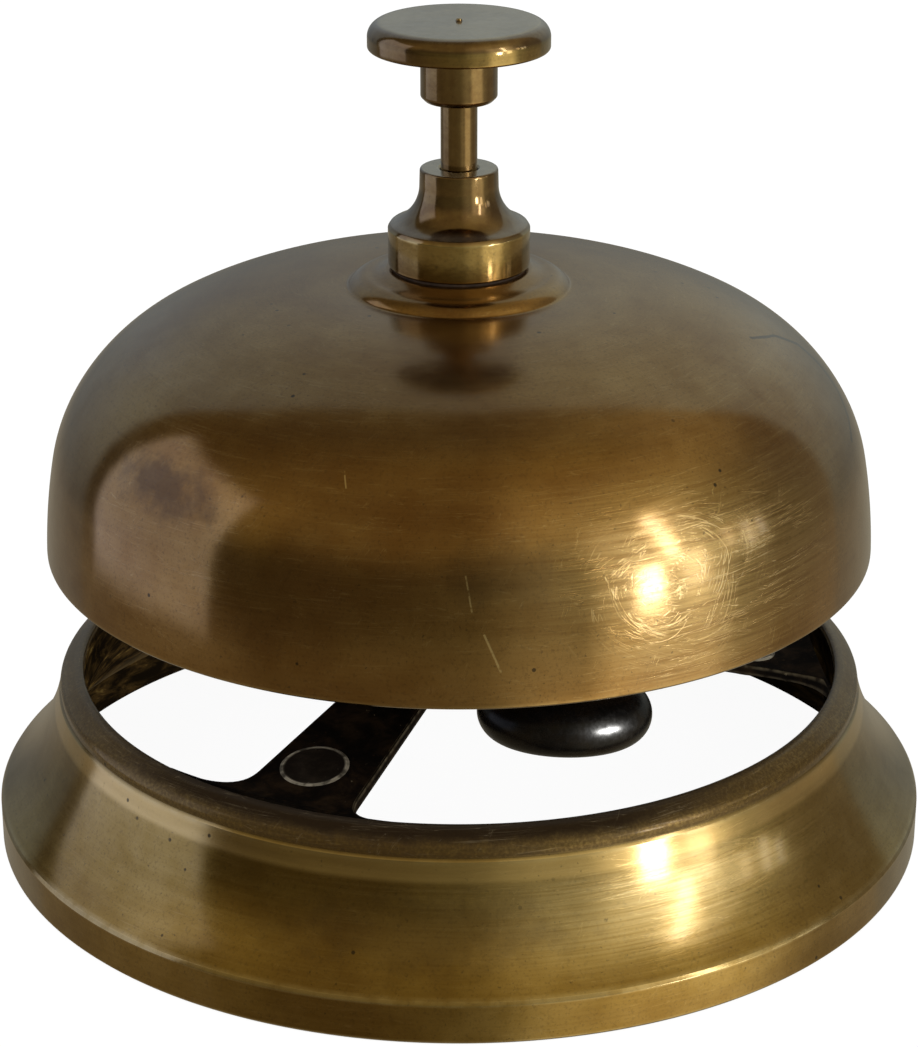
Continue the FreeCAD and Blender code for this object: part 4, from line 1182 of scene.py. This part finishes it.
def make_world():
    """Reflections see the room; everything else sees white."""
    world = bpy.data.worlds.new("room")
    SCENE.world = world
    world.use_nodes = True
    net = Net(world.node_tree)
    room, white = (
        net.node("ShaderNodeBackground", {"Color": colour, "Strength": strength})
        for colour, strength in ((room_colour(net), 1.0), ((1.0, 1.0, 1.0), 0.95))
    )
    glossy = net.node("ShaderNodeLightPath", output="Is Glossy Ray")
    net.output(
        "ShaderNodeOutputWorld", net.node("ShaderNodeMixShader", {0: glossy, 1: white, 2: room}),
    )
    world.cycles.sampling_method = "NONE"


LIGHT_TARGET = Vector((0, 0, 0.04))
LIGHT_DISTANCE = 1.6


def make_light(name, azimuth, elevation, wide, tall, watts, colour):
    """An area light aimed at the bell; angles in degrees as in the room."""
    azimuth, elevation = math.radians(azimuth), math.radians(elevation)
    way = Vector((
        math.sin(azimuth) * math.cos(elevation),
        -math.cos(azimuth) * math.cos(elevation),
        math.sin(elevation),
    ))
    light = bpy.data.lights.new(name, "AREA")
    light.shape = "RECTANGLE"
    light.size = wide
    light.size_y = tall
    light.energy = watts
    light.color = colour
    ob = bpy.data.objects.new(name, light)
    SCENE.collection.objects.link(ob)
    ob.location = LIGHT_TARGET + way * LIGHT_DISTANCE
    ob.rotation_mode = "QUATERNION"
    ob.rotation_quaternion = way.to_track_quat("Z", "Y")
    ob.visible_camera = False
    return ob


def make_lights():
    # name, azimuth, elevation, width, height (m), watts, colour
    for row in (
        ("key_window", 51, 1.5, 0.19, 0.44, 3.5, (1.0, 0.99, 0.97)),
        ("key_streak", 59.5, 23, 0.11, 0.7, 1.7, (1.0, 0.97, 0.90)),
        ("key_pane", 64.5, 3, 0.20, 0.50, 0.7, (1.0, 0.96, 0.88)),
    ):
        make_light(*row)
    # a low, wide light that only the hammer disc receives
    glint = make_light(
        "hammer_glint", azimuth=56, elevation=2, wide=0.55, tall=0.12, watts=420.0,
        colour=(1.0, 0.99, 0.96),
    )
    glint.visible_diffuse = False
    receivers = bpy.data.collections.new("hammer_only")
    receivers.objects.link(head)
    glint.light_linking.receiver_collection = receivers


def make_floor():
    mesh = bpy.data.meshes.new("floor")
    bm = bmesh.new()
    bmesh.ops.create_grid(bm, x_segments=8, y_segments=8, size=6.0)
    bm.to_mesh(mesh)
    bm.free()
    floor = bpy.data.objects.new("floor", mesh)
    SCENE.collection.objects.link(floor)
    floor.location = (0, 0, -0.00002)
    material, net = new_material("pale_floor")
    tone = net.noise(net.object_point(), scale=40.0, detail=3.0)
    colour = net.ramp(tone, [(0.3, (0.80, 0.80, 0.79)), (0.7, (0.84, 0.84, 0.83))])
    diffuse = net.node("ShaderNodeBsdfDiffuse", {"Color": colour})
    glow = net.node("ShaderNodeEmission", {"Color": (1.0, 1.0, 1.0), "Strength": 1.08})
    shader = net.node("ShaderNodeMixShader", {0: 0.88, 1: diffuse, 2: glow})
    net.output("ShaderNodeOutputMaterial", shader)
    mesh.materials.append(material)
    floor.visible_glossy = False
    floor.visible_diffuse = False


def make_camera():
    camera = bpy.data.cameras.new("camera")
    camera.sensor_width = 36.0
    camera.lens = 103.99
    camera.clip_start = 0.01
    camera.clip_end = 20.0
    ob = bpy.data.objects.new("camera", camera)
    SCENE.collection.objects.link(ob)
    ob.location = (0.0, -0.29806, 0.15590)
    ob.rotation_euler = (math.radians(67.647), 0.0, 0.0)
    SCENE.camera = ob
    SCENE.view_settings.view_transform = "Standard"
    SCENE.view_settings.look = "None"
    SCENE.view_settings.exposure = 0.0
    SCENE.view_settings.gamma = 1.0


make_world()
make_lights()
make_floor()
make_camera()
